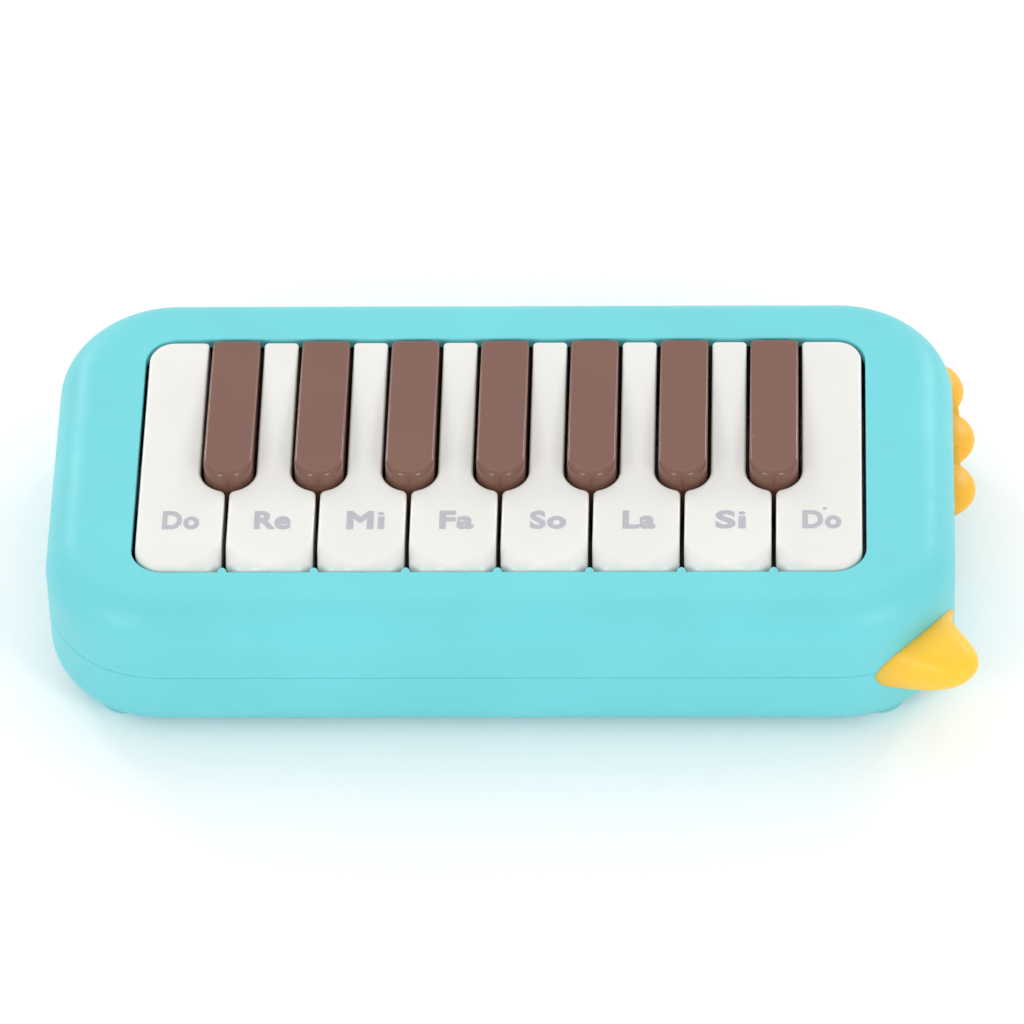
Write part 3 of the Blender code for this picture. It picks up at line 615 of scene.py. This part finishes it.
def upper_case():
    inner = RIM_RADIUS - WALL
    bottom = DECK_Z - DECK_THICKNESS
    lip_low = DECK_Z - NUB_HEIGHT

    def wall_foot(share):
        return bottom + share * (lip_low - bottom)

    loops = [case_loop(SEAM_BEVEL, UPPER_Z),
             case_loop(SEAM_ROUND * SEAM_BEVEL, UPPER_Z + SEAM_ROUND * SEAM_BEVEL),
             case_loop(0, UPPER_Z + SEAM_BEVEL), case_loop(0, UPPER_Z + 3 * SEAM_BEVEL),
             case_loop(0, DECK_Z - RIM_RADIUS - RIM_MARGIN)]
    loops += rim(0, RIM_RADIUS, DECK_Z)
    loops.append(case_loop(RIM_RADIUS + FLAT_MARGIN, DECK_Z))
    loops.append(window_loop(WINDOW_EDGE + DECK_ROWS[0], DECK_Z, guides=False))
    loops.append(window_loop(WINDOW_EDGE + DECK_ROWS[1], DECK_Z))
    for i in range(6):
        turn = pi / 2 * i / 5
        z = DECK_Z - WINDOW_EDGE * (1 - cos(turn))
        loops.append(window_loop(WINDOW_EDGE * (1 - sin(turn)), z))
    loops.append(window_loop(0, wall_foot))
    loops.append(window_loop(LIP, wall_foot, guides=False))
    loops.append(window_loop(LIP + 0.01, bottom, guides=False))
    loops += list(reversed(rim(WALL, inner, bottom, INNER_STEPS)))
    loops.append(case_loop(WALL, UPPER_Z + TONGUE + CLEARANCE))
    loops.append(case_loop(SEAM_DEPTH, UPPER_Z + TONGUE + CLEARANCE))
    loops.append(case_loop(SEAM_DEPTH, UPPER_Z))
    post = joined_turned(rounded(POST_RADIUS, UPPER_Z, DECK_Z - WALL / 2), SCREW)
    pilot = rounded(SCREW_RADIUS + CLEARANCE, UPPER_Z - OVERCUT, SCREW_TIP + 1)
    return shaped(loft(loops, closed=True), ("UNION", post),
                  ("DIFFERENCE", joined_turned(pilot, SCREW)), ("DIFFERENCE", socket_hole()))


def corners(spot):
    return [(sx * spot[0], sy * spot[1]) for sx in (-1, 1) for sy in (-1, 1)]


def joined_turned(profile, spot, steps=32):
    """The same turned profile at the four mirrored places, as one mesh."""
    made = bmesh.new()
    for x, y in corners(spot):
        mesh = turned(profile, (x, y, 0), steps=steps)
        made.from_mesh(mesh)
        bpy.data.meshes.remove(mesh)
    mesh = bpy.data.meshes.new("turned")
    made.to_mesh(mesh)
    made.free()
    return mesh


def socket_hole():
    radius = SOCKET_RADIUS + CLEARANCE
    profile = [(radius, -OVERCUT), (radius, WALL - 0.6), (radius, 8)]
    return turned(profile, (-HALF_LENGTH, 0, SEAM_Z), "X", 48)


def lower_case():
    inner = RIM_RADIUS - WALL
    tongue = SEAM_DEPTH + 0.1
    loops = [case_loop(RIM_RADIUS + FLAT_MARGIN, BASE_Z)]
    loops += list(reversed(rim(0, RIM_RADIUS, BASE_Z, upwards=False)))
    loops += [case_loop(0, BASE_Z + RIM_RADIUS + RIM_MARGIN),
              case_loop(0, LOWER_Z - 3 * SEAM_BEVEL), case_loop(0, LOWER_Z - SEAM_BEVEL),
              case_loop(SEAM_ROUND * SEAM_BEVEL, LOWER_Z - SEAM_ROUND * SEAM_BEVEL),
              case_loop(SEAM_BEVEL, LOWER_Z), case_loop(tongue, LOWER_Z),
              case_loop(tongue, UPPER_Z + TONGUE), case_loop(WALL, UPPER_Z + TONGUE)]
    loops += rim(WALL, inner, BASE_Z + WALL, INNER_STEPS, upwards=False)
    foot = joined_turned(rounded(FOOT_RADIUS, 0, BASE_Z + WALL, FOOT_EDGE), FOOT, 48)
    post = joined_turned(rounded(POST_RADIUS + 1, BASE_Z + WALL / 2, LOWER_Z), SCREW)
    hole = joined_turned(rounded(SCREW_RADIUS + CLEARANCE, -OVERCUT, SEAM_Z + OVERCUT), SCREW)
    recess = joined_turned(rounded(SCREW_HEAD_RADIUS + CLEARANCE, -OVERCUT, RECESS_TOP), SCREW)
    return shaped(loft(loops), ("UNION", foot), ("UNION", post), ("DIFFERENCE", hole),
                  ("DIFFERENCE", recess), ("DIFFERENCE", socket_hole()))


place("upper_case", upper_case(), CASE_LOOK, "case", replaces=("upper_shell",))
place("lower_case", lower_case(), CASE_LOOK, "case", replaces=("lower_shell",))


# Keys

EDGE_STEPS = 8
# Points on the straight sides, where the rounding of the front fades out
WHITE_STATIONS = (-31.0, -30.3, -29.5, -28.5, -27, -24)
END_STATIONS = (-27, -24)
NECK_RADIUS = 1.0
FRONT_GROWTH = 0.75
CORNER_GROWTH = 2.9
NECK_EDGE = 0.55
DEEPEST_EDGE = 3.2


def white_side(is_end, inset):
    """The right-hand edge of a white key from the middle of its front to its back."""
    half, corner = (END_HALF, END_FRONT_RADIUS) if is_end else (WHITE_HALF, WHITE_CORNER)
    straight = half - corner
    points = [(straight * share, KEY_FRONT + inset) for share in (0.2, 0.4, 0.6, 0.8)]
    points += arc((half - corner, KEY_FRONT + corner), corner - inset, -pi / 2, 0, 12)
    if is_end:
        points += [(half - inset, y) for y in END_STATIONS]
        back = END_BACK_RADIUS
        return points + arc((half - back, WHITE_BACK - back), back - inset, 0, pi / 2, 12)
    points += [(half - inset, y) for y in WHITE_STATIONS]
    slot = Vector((PITCH / 2, BROWN_TIP))
    reach = SLOT_RADIUS + SHOULDER
    shoulder = Vector((half - SHOULDER, 0))
    shoulder.y = slot.y - sqrt(reach ** 2 - (slot.x - shoulder.x) ** 2)
    turn = atan2(slot.y - shoulder.y, slot.x - shoulder.x)
    points += arc(shoulder, SHOULDER - inset, 0, turn, 6)
    points += arc(slot, SLOT_RADIUS + inset, turn + pi, pi, 14)
    neck = PITCH / 2 - SLOT_RADIUS
    centre = (neck - NECK_RADIUS, WHITE_BACK - NECK_RADIUS)
    return points + arc(centre, max(NECK_RADIUS - inset, 0.05), 0, pi / 2, 5)


def white_outline(end, inset=0.0):
    right = white_side(end == 1, inset)
    left = white_side(end == -1, inset)
    return [(0, KEY_FRONT + inset)] + right + [(-x, y) for x, y in reversed(left)]


def brown_outline(inset=0.0):
    half = BROWN_HALF - inset
    corner = max(BROWN_CORNER - inset, 0.2)
    right = arc((0, BROWN_TIP), half, -pi / 2, 0, 18)
    right += arc((half - corner, KEY_BACK - inset - corner), corner, 0, pi / 2, 6)
    return right + [(-x, y) for x, y in reversed(right[1:])]


def brown_top(y):
    share = (KEY_BACK - y) / (KEY_BACK - BROWN_TIP)
    return KEY_TOP + BROWN_RISE[0] + share * (BROWN_RISE[1] - BROWN_RISE[0])


def crowned(outline, edges, top, draft=0.0):
    """A key cap: walls up to an edge whose width and depth vary along the outline.

    outline(inset) gives the points, edges(x, y) the width and depth of the rounding there,
    and top(y) the height of the cap.
    """
    nudge = 0.02
    outer = outline(0.0)
    inner = outline(nudge)
    inwards = [Vector((q[0] - p[0], q[1] - p[1])) / nudge for p, q in zip(outer, inner)]
    spans = [edges(x, y) for x, y in outer]

    def ring(share, height):
        """share and height run from 0 at the wall to 1 at the flat top."""
        points = []
        for (x, y), push, (width, depth) in zip(outer, inwards, spans):
            spot = Vector((x, y)) + push * (draft + width * share)
            points.append(Vector((spot.x, spot.y, top(spot.y) - depth * (1 - height))))
        return points

    loops = [level(outer, KEY_BOTTOM)]
    for i in range(EDGE_STEPS + 1):
        turn = pi / 2 * i / EDGE_STEPS
        loops.append(ring(1 - cos(turn), sin(turn)))
    loops.append(ring(1.05, 1))
    return loft(loops)


def white_edges(end):
    """Wide and deep rounding at the front corners, and a fine edge along the sides and neck."""
    def edges(x, y):
        front = smooth((-28.0 - y) / 5.0)
        rounded_end = (x > 0 and end == 1) or (x < 0 and end == -1)
        corner = 0.0 if rounded_end else smooth(abs(x) / 6.0)
        width = WHITE_EDGE + front * (FRONT_GROWTH + CORNER_GROWTH * corner)
        if y > KEY_BACK - 2 or abs(x) < 4.0 and y > BROWN_TIP:
            width = min(width, NECK_EDGE)
        return width, min(width, DEEPEST_EDGE)
    return edges


def brown_edges(x, y):
    front = smooth((BROWN_TIP - y) / 3.0)
    width = BROWN_EDGE + front * (BROWN_FRONT_EDGE - BROWN_EDGE)
    return width, width


def fittings():
    """The arm, stem, boss and barrel of a key, and the bore through its barrel."""
    y, z = HINGE
    half, thick = ARM
    roof = KEY_TOP - ROOF / 2
    arm = box((-half, KEY_BACK - 4, z - thick), (half, y, z + thick))
    stem_y, stem_x, stem_half = STEM
    stem = box((-stem_x, stem_y - stem_half, PAD_HIGH.z + CLEARANCE),
               (stem_x, stem_y + stem_half, roof))
    boss = turned(rounded(BOSS_RADIUS, SPRING_HIGH.z + CLEARANCE, roof), (0, SPRING_Y, 0),
                  steps=24)
    barrel = turned(rounded(BARREL_RADIUS, -half, half), (0, y, z), "X", 28)
    bore = turned(rounded(ROD_RADIUS + CLEARANCE, -2 * half, 2 * half), (0, y, z), "X", 28)
    return [("UNION", arm), ("UNION", stem), ("UNION", boss), ("UNION", barrel),
            ("DIFFERENCE", bore)]


def hollow(outline):
    """The space under a key's roof."""
    return loft([level(outline, z) for z in (KEY_BOTTOM - OVERCUT, KEY_TOP - ROOF)])


def white_key(end):
    cap = crowned(lambda inset: white_outline(end, inset), white_edges(end), lambda y: KEY_TOP)
    return shaped(cap, ("DIFFERENCE", hollow(white_outline(end, KEY_WALL))), *fittings())


def brown_key():
    cap = crowned(brown_outline, brown_edges, brown_top, BROWN_DRAFT)
    return shaped(cap, ("DIFFERENCE", hollow(brown_outline(KEY_WALL))), *fittings())


WHITE_MESHES = {end: white_key(end) for end in (-1, 0, 1)}
for number in range(WHITE_KEYS):
    end = -1 if number == 0 else 1 if number == WHITE_KEYS - 1 else 0
    place(f"white_cap_{number + 1}", WHITE_MESHES[end].copy(), WHITE_LOOK, f"white_{number + 1}",
          (key_x(number), 0), (f"white_key_{number + 1}",))
BROWN_MESH = brown_key()
for number in range(WHITE_KEYS - 1):
    place(f"brown_cap_{number + 1}", BROWN_MESH.copy(), BROWN_LOOK, f"brown_{number + 1}",
          (key_x(number + 0.5), 0), (f"brown_key_{number + 1}",))


# Labels

def evaluated(item):
    """The object's mesh after its modifiers; the object itself is removed."""
    bpy.context.scene.collection.objects.link(item)
    bpy.context.view_layer.update()
    graph = bpy.context.evaluated_depsgraph_get()
    mesh = bpy.data.meshes.new_from_object(item.evaluated_get(graph))
    bpy.data.objects.remove(item)
    return mesh


def label_mesh(text, width, dot):
    """Plump letters from the built-in typeface, fitted to the label's size and pressed flat."""
    curve = bpy.data.curves.new("label", "FONT")
    curve.body = text
    curve.size = 8.0
    curve.extrude = 0.2
    curve.bevel_depth = LETTER_GROWTH
    curve.bevel_resolution = 3
    curve.space_character = 1.12
    letters = bpy.data.objects.new("label", evaluated(bpy.data.objects.new("text", curve)))
    fused = letters.modifiers.new("fused", "REMESH")
    fused.mode = "VOXEL"
    fused.voxel_size = LETTER_VOXEL
    eased = letters.modifiers.new("eased", "SMOOTH")
    eased.factor = 0.5
    eased.iterations = 3
    mesh = evaluated(letters)
    spots = [v.co.copy() for v in mesh.vertices]
    low = Vector(min(spot[axis] for spot in spots) for axis in range(3))
    high = Vector(max(spot[axis] for spot in spots) for axis in range(3))
    size = [width / (high.x - low.x), LABEL_HEIGHT / (high.y - low.y), INK / (high.z - low.z), 1]
    mesh.transform(Matrix.Translation((0, LABEL_Y, KEY_TOP)) @ Matrix.Diagonal(size)
                   @ Matrix.Translation(-(low + high) / 2))
    if dot:
        x, y, wide, tall = dot
        spot = turned([(0.7, -INK / 2), (1, -INK / 6), (1, INK / 6), (0.7, INK / 2)], steps=24)
        spot.transform(Matrix.Translation((x, LABEL_Y + y, KEY_TOP))
                       @ Matrix.Diagonal((wide, tall, 1, 1)))
        made = bmesh.new()
        made.from_mesh(mesh)
        made.from_mesh(spot)
        made.to_mesh(mesh)
        made.free()
    return mesh


for number, text in enumerate(LABELS):
    width = LABEL_SIZES[number]
    dot = None
    if text[-1] == "\u0131":
        dot = (width / 2 - LETTER_DOT[0], *LETTER_DOT[1:])
    elif number == WHITE_KEYS - 1:
        dot = OCTAVE_DOT
    place(f"label_{number + 1}", label_mesh(text, width, dot), LABEL_LOOK, f"white_{number + 1}",
          at=(key_x(number) + LABEL_SHIFT[number], 0), wear=False)


# Crest and beak

def outer_wall(inset):
    """The outside of the closed case, shrunk by the inset, to cut the crest with."""
    radius, steps = RIM_RADIUS - inset, 12
    loops = rim(inset, radius, BASE_Z + inset, steps, upwards=False)
    return loft(list(reversed(loops)) + rim(inset, radius, DECK_Z - inset, steps))


def crest():
    """Three plump lobes in a row round the rear right corner, with crisp valleys between them."""
    path = CORNER_RADIUS + CREST_PROUD - CREST_RADIUS
    corner = Vector((HALF_LENGTH - CORNER_RADIUS, HALF_DEPTH - CORNER_RADIUS, SEAM_Z))
    lobes = []
    for number in range(3):
        past = CREST_FIRST_Y + number * CREST_PITCH - corner.y
        turn = max(0.0, past) / path
        middle = corner + Vector((path * cos(turn), path * sin(turn) + min(0.0, past), 0))
        made = bmesh.new()
        radius = CREST_RADIUS * (CREST_REAR_GROWTH if number == 2 else 1)
        bmesh.ops.create_uvsphere(made, u_segments=56, v_segments=28, radius=radius)
        made.transform(Matrix.Translation(middle)
                       @ Matrix.Diagonal((1, 1, CREST_HALF_HEIGHT / CREST_RADIUS, 1)))
        mesh = bpy.data.meshes.new("lobe")
        made.to_mesh(mesh)
        made.free()
        lobes.append(mesh)
    half = CREST_BAND_SHARE * CREST_HALF_HEIGHT
    band = loft([case_loop(-CREST_BAND, SEAM_Z - half), case_loop(-CREST_BAND, SEAM_Z + half)])
    span = box((corner.x, CREST_FIRST_Y, 0), (2 * HALF_LENGTH, middle.y, 2 * DECK_Z))
    band = shaped(band, ("INTERSECT", span))
    return shaped(lobes[0], ("UNION", lobes[1]), ("UNION", lobes[2]), ("UNION", band),
                  ("DIFFERENCE", outer_wall(SINK)))


def mark_painted_glow(mesh, reach):
    """Stores how close each point of the mesh is to the case wall, from 0 to 1, for a painted glow
    there.
    """
    half = (HALF_LENGTH - CORNER_RADIUS, HALF_DEPTH - CORNER_RADIUS)
    near = []
    for point in mesh.vertices:
        past = Vector((max(0.0, abs(point.co.x) - half[0]), max(0.0, abs(point.co.y) - half[1])))
        near.append(1 - smooth((past.length - CORNER_RADIUS) / reach))
    attribute = mesh.attributes.new("root", "FLOAT", "POINT")
    attribute.data.foreach_set("value", near)
    return mesh


def beak_point(across, up, swell):
    """A point of the beak; across and up run from -1 to 1, and swell is 0 on the case wall."""
    height = BEAK_HALF_HEIGHT * (1 - across * across) ** BEAK_FULLNESS
    nose = exp(-((abs(across - BEAK_PEAK) / BEAK_SPREAD) ** BEAK_SHARPNESS)) * (1 - across ** 6)
    slope = BEAK_SLOPES[1] if up > 0 else BEAK_SLOPES[0]
    bulge = swell * (nose + BEAK_LIP * sqrt(1 - across * across)) * max(0.0, 1 - up * up) ** slope
    angle = BEAK_ANGLE + BEAK_HALF_ANGLE * across
    radius = CORNER_RADIUS + BEAK_SEAT + (BEAK_LENGTH - BEAK_SEAT) * bulge
    return Vector((HALF_LENGTH - CORNER_RADIUS + radius * sin(angle),
                   CORNER_RADIUS - HALF_DEPTH - radius * cos(angle),
                   SEAM_Z - BEAK_DROP + height * up + BEAK_RISE * bulge))


def beak():
    made = bmesh.new()
    for swell in (0, 1):
        grid = bmesh.ops.create_grid(made, x_segments=72, y_segments=36, size=1)
        for point in grid["verts"]:
            point.co = beak_point(point.co.x, sin(pi / 2 * point.co.y), swell)
    bmesh.ops.remove_doubles(made, verts=made.verts, dist=0.002)
    bmesh.ops.recalc_face_normals(made, faces=made.faces)
    mesh = bpy.data.meshes.new("beak")
    made.to_mesh(mesh)
    made.free()
    return mesh


# Painted glow: the crest and the beak turn a warmer, brighter orange near the case wall, standing
# in for light bounced through the plastic
CREST_MESH = mark_painted_glow(crest(), CREST_GLOW_REACH)
BEAK_MESH = mark_painted_glow(beak(), BEAK_GLOW_REACH)
place("crest_lobes", CREST_MESH, CREST_LOOK, "case", replaces=("crest",))
place("beak_nose", BEAK_MESH, BEAK_LOOK, "case", replaces=("beak",))


# Inside the case

def screw():
    """A pan-headed screw with a cross recess and a threaded shank."""
    top = RECESS_TOP - CLEARANCE
    head = top - SCREW_HEAD_HEIGHT
    profile = [(0.4, head), (1.6, head + 0.12), (2.3, head + 0.42),
               (SCREW_HEAD_RADIUS, head + 0.95), (SCREW_HEAD_RADIUS, top), (SCREW_RADIUS, top)]
    root, pitch = SCREW_RADIUS - 0.25, 0.9
    z = top
    while z < SCREW_TIP - 1.2:
        profile += [(root, z + 0.2), (root, z + 0.45), (SCREW_RADIUS, z + 0.7)]
        z += pitch
    profile.append((0.25, SCREW_TIP))
    long, wide = 1.35, 0.3
    cross = [("DIFFERENCE", box((-x, -y, head - 1), (x, y, head + 1)))
             for x, y in ((long, wide), (wide, long))]
    return shaped(turned(profile, steps=28), *cross)


SCREW_MESH = screw()
for number, spot in enumerate(corners(SCREW), 1):
    place(f"screw_{number}", SCREW_MESH.copy(), STEEL_LOOK, "case", spot,
          (f"case_screw_{number}",), wear=False)


def spring():
    """A compression spring of round wire with its last turns closed up."""
    curve = bpy.data.curves.new("spring", "CURVE")
    curve.dimensions = "3D"
    curve.bevel_depth = WIRE
    curve.bevel_resolution = 2
    curve.use_fill_caps = True
    spline = curve.splines.new("POLY")
    steps = 28 * SPRING_TURNS
    spline.points.add(steps)
    radius = (SPRING_HIGH.x - SPRING_LOW.x) / 2 - WIRE
    length = SPRING_HIGH.z - SPRING_LOW.z - 2 * WIRE
    for i, point in enumerate(spline.points):
        share = i / steps
        angle = 2 * pi * SPRING_TURNS * share
        rise = length * (0.35 * smooth(share) + 0.65 * share)
        point.co = (radius * cos(angle), radius * sin(angle), SPRING_LOW.z + WIRE + rise, 1)
    mesh = evaluated(bpy.data.objects.new("spring", curve))
    made = bmesh.new()
    made.from_mesh(mesh)
    bmesh.ops.remove_doubles(made, verts=made.verts, dist=0.001)
    bmesh.ops.recalc_face_normals(made, faces=made.faces)
    made.to_mesh(mesh)
    made.free()
    return mesh


def pad():
    """A soft rubber pad with rounded edges."""
    low, high = PAD_LOW - Vector((key_x(0), 0, 0)), PAD_HIGH - Vector((key_x(0), 0, 0))
    middle, half = (low + high) / 2, (high - low) / 2
    edge, corner = 0.6, 1.2
    loops = []
    for i in range(5):
        turn = pi / 2 * i / 4
        loops.append((edge * (1 - cos(turn)), high.z - edge * (1 - sin(turn))))
    loops = [(inset, low.z + high.z - z) for inset, z in reversed(loops)] + loops
    rows = []
    for inset, z in loops:
        outline = []
        for quarter, (sx, sy) in enumerate(((1, 1), (-1, 1), (-1, -1), (1, -1))):
            centre = (middle.x + sx * (half.x - corner), middle.y + sy * (half.y - corner))
            outline += arc(centre, corner - inset, quarter * pi / 2, (quarter + 1) * pi / 2, 6)
        rows.append(level(outline, z))
    return loft(rows)


def felt():
    """A soft strip with rounded edges and a surface roughened by its fibres."""
    rows = []
    steps, sides, fullness = 220, 20, 1.25
    half = (FELT_HIGH.x - FELT_LOW.x) / 2
    middle = (FELT_HIGH + FELT_LOW) / 2
    size = ((FELT_HIGH.y - FELT_LOW.y) / 2, (FELT_HIGH.z - FELT_LOW.z) / 2)
    for i in range(steps + 1):
        x = middle.x - half + 2 * half * i / steps
        row = []
        for j in range(sides):
            turn = 2 * pi * j / sides
            y = size[0] * max(-1, min(1, fullness * cos(turn)))
            z = size[1] * max(-1, min(1, fullness * sin(turn)))
            rough = 1 - 0.06 * (0.5 + 0.5 * noise.noise(Vector((x * 0.9, y * 1.3, z * 1.3))))
            row.append(Vector((x, middle.y + y * rough, middle.z + z * rough)))
        rows.append(row)
    return loft(rows)


def blow_socket():
    """The tube in the left wall, with a rounded mouth and a collar behind the wall."""
    low, high = box_mm("blow_socket")
    length = high.x - low.x
    outer, bore, collar = SOCKET_RADIUS, SOCKET_BORE, COLLAR_RADIUS
    edge = 0.5
    seat = WALL + CLEARANCE - (low.x + HALF_LENGTH)
    mouth = [pi / 2 * i / 6 for i in range(7)]
    profile = [(outer - edge + edge * sin(a), edge - edge * cos(a)) for a in mouth]
    back = seat + COLLAR_WIDTH
    profile += [(outer, seat), (collar, seat), (collar, back), (outer, back), (outer, length),
                (bore, length)]
    profile += [(bore + edge - edge * cos(a), edge - edge * sin(a)) for a in mouth]
    return turned(profile, (low.x, 0, SEAM_Z), "X", 56, inner=True)


SPRING_MESH = spring()
PAD_MESH = pad()
for number in range(1, 2 * WHITE_KEYS):
    x = key_x((number - 1) / 2)
    kind, index = ("white", (number + 1) // 2) if number % 2 else ("brown", number // 2)
    coil = place(f"spring_{number}", SPRING_MESH.copy(), STEEL_LOOK, "case", (x, SPRING_Y),
                 (f"key_spring_{number}",), wear=False)
    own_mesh(coil)
    place(f"pad_{number}", PAD_MESH.copy(), PAD_LOOK, f"{kind}_{index}", (x, 0),
          (f"valve_pad_{number}",), wear=False)
place("felt_strip", felt(), FELT_LOOK, "case", replaces=("stop_felt",), angle=60,
      wear=False)
place("socket_tube", blow_socket(), INNER_LOOK, "case", replaces=("blow_socket",))

for node, look in (("wind_tray", INNER_LOOK), ("reed_block", INNER_LOOK),
                   ("hinge_rail", INNER_LOOK), ("reed_plate", BRASS_LOOK),
                   ("hinge_rod", STEEL_LOOK)):
    for part in frame["nodes"][node].material_slots:
        part.material = look


# Floor, light and camera

def floor():
    look = Look("floor_paper", (0.97, 0.97, 0.97), 0.7)
    look.feed("Base Color", look.mix(look.noise(90, 3), (0.96, 0.96, 0.96, 1),
                                     (0.975, 0.975, 0.975, 1)))
    look.feed("Roughness", look.spread(look.noise(40, 3), 0.3, 0.7, 0.65, 0.8))
    look.bumps((look.noise(1.5, 3), 0.01))
    made = bmesh.new()
    bmesh.ops.create_grid(made, x_segments=40, y_segments=40, size=3.0)
    mesh = bpy.data.meshes.new("floor")
    made.to_mesh(mesh)
    made.free()
    mesh.materials.append(look.material)
    item = bpy.data.objects.new("floor", mesh)
    bpy.context.scene.collection.objects.link(item)


def world(bright, dim):
    """An even white surround, dimmer low in front of the object."""
    made = bpy.data.worlds.new("studio")
    made.use_nodes = True
    nodes, links = made.node_tree.nodes, made.node_tree.links
    background = nodes["Background"]
    background.inputs["Color"].default_value = (1, 1, 1, 1)
    towards = nodes.new("ShaderNodeVectorMath")
    towards.operation = "DOT_PRODUCT"
    towards.inputs[1].default_value = (0, -cos(radians(12)), sin(radians(12)))
    links.new(nodes.new("ShaderNodeTexCoord").outputs["Generated"], towards.inputs[0])
    fade = nodes.new("ShaderNodeMapRange")
    fade.interpolation_type = "SMOOTHSTEP"
    for socket, value in (("From Min", 0.55), ("From Max", 0.95), ("To Min", bright),
                          ("To Max", dim)):
        fade.inputs[socket].default_value = value
    links.new(towards.outputs["Value"], fade.inputs["Value"])
    links.new(fade.outputs["Result"], background.inputs["Strength"])
    bpy.context.scene.world = made


def softbox(name, azimuth, elevation, size, power, distance=1.1):
    """A rectangular light aimed at the object; azimuth 0 is in front and 90 to the right."""
    lamp = bpy.data.lights.new(name, "AREA")
    lamp.shape = "RECTANGLE"
    lamp.size, lamp.size_y = size
    lamp.energy = power
    item = bpy.data.objects.new(name, lamp)
    turn, lift = radians(azimuth), radians(elevation)
    back = Vector((sin(turn) * cos(lift), -cos(turn) * cos(lift), sin(lift)))
    item.location = MIDDLE + Vector((0, 0, 0.02)) + back * distance
    item.rotation_mode = "QUATERNION"
    item.rotation_quaternion = (-back).to_track_quat("-Z", "Y")
    bpy.context.scene.collection.objects.link(item)


def camera():
    azimuth, elevation, roll = radians(3.06), radians(45.63), radians(-2.29)
    distance, lens, sensor = 1.8283, 289.5, 36
    aim = MIDDLE + Vector((1.76, 0.0, 18.42)) * MM
    back = Vector((sin(azimuth) * cos(elevation), -cos(azimuth) * cos(elevation), sin(elevation)))
    right = (-back).cross(Vector((0, 0, 1))).normalized()
    up = right.cross(-back)
    across = right * cos(roll) + up * sin(roll)
    upright = up * cos(roll) - right * sin(roll)
    item = bpy.data.objects.new("camera", bpy.data.cameras.new("camera"))
    item.data.lens = lens
    item.data.sensor_width = sensor
    item.data.clip_start, item.data.clip_end = 0.05, 50
    turn = Matrix((across, upright, back)).transposed().to_4x4()
    item.matrix_world = Matrix.Translation(aim + back * distance) @ turn
    bpy.context.scene.collection.objects.link(item)
    bpy.context.scene.camera = item


bpy.context.scene.view_settings.view_transform = "Standard"
floor()
world(bright=0.86, dim=0.65)
softbox("left_box", azimuth=-41, elevation=28, size=(0.28, 0.28), power=2.3)
softbox("right_box", azimuth=41, elevation=30, size=(0.28, 0.28), power=2.3)
softbox("rear_left_box", azimuth=-140, elevation=24, size=(0.2, 0.25), power=1.6)
softbox("rear_right_box", azimuth=140, elevation=24, size=(0.2, 0.25), power=1.6)
softbox("top_box", azimuth=180, elevation=60, size=(1.2, 0.8), power=1.3, distance=1.2)
camera()
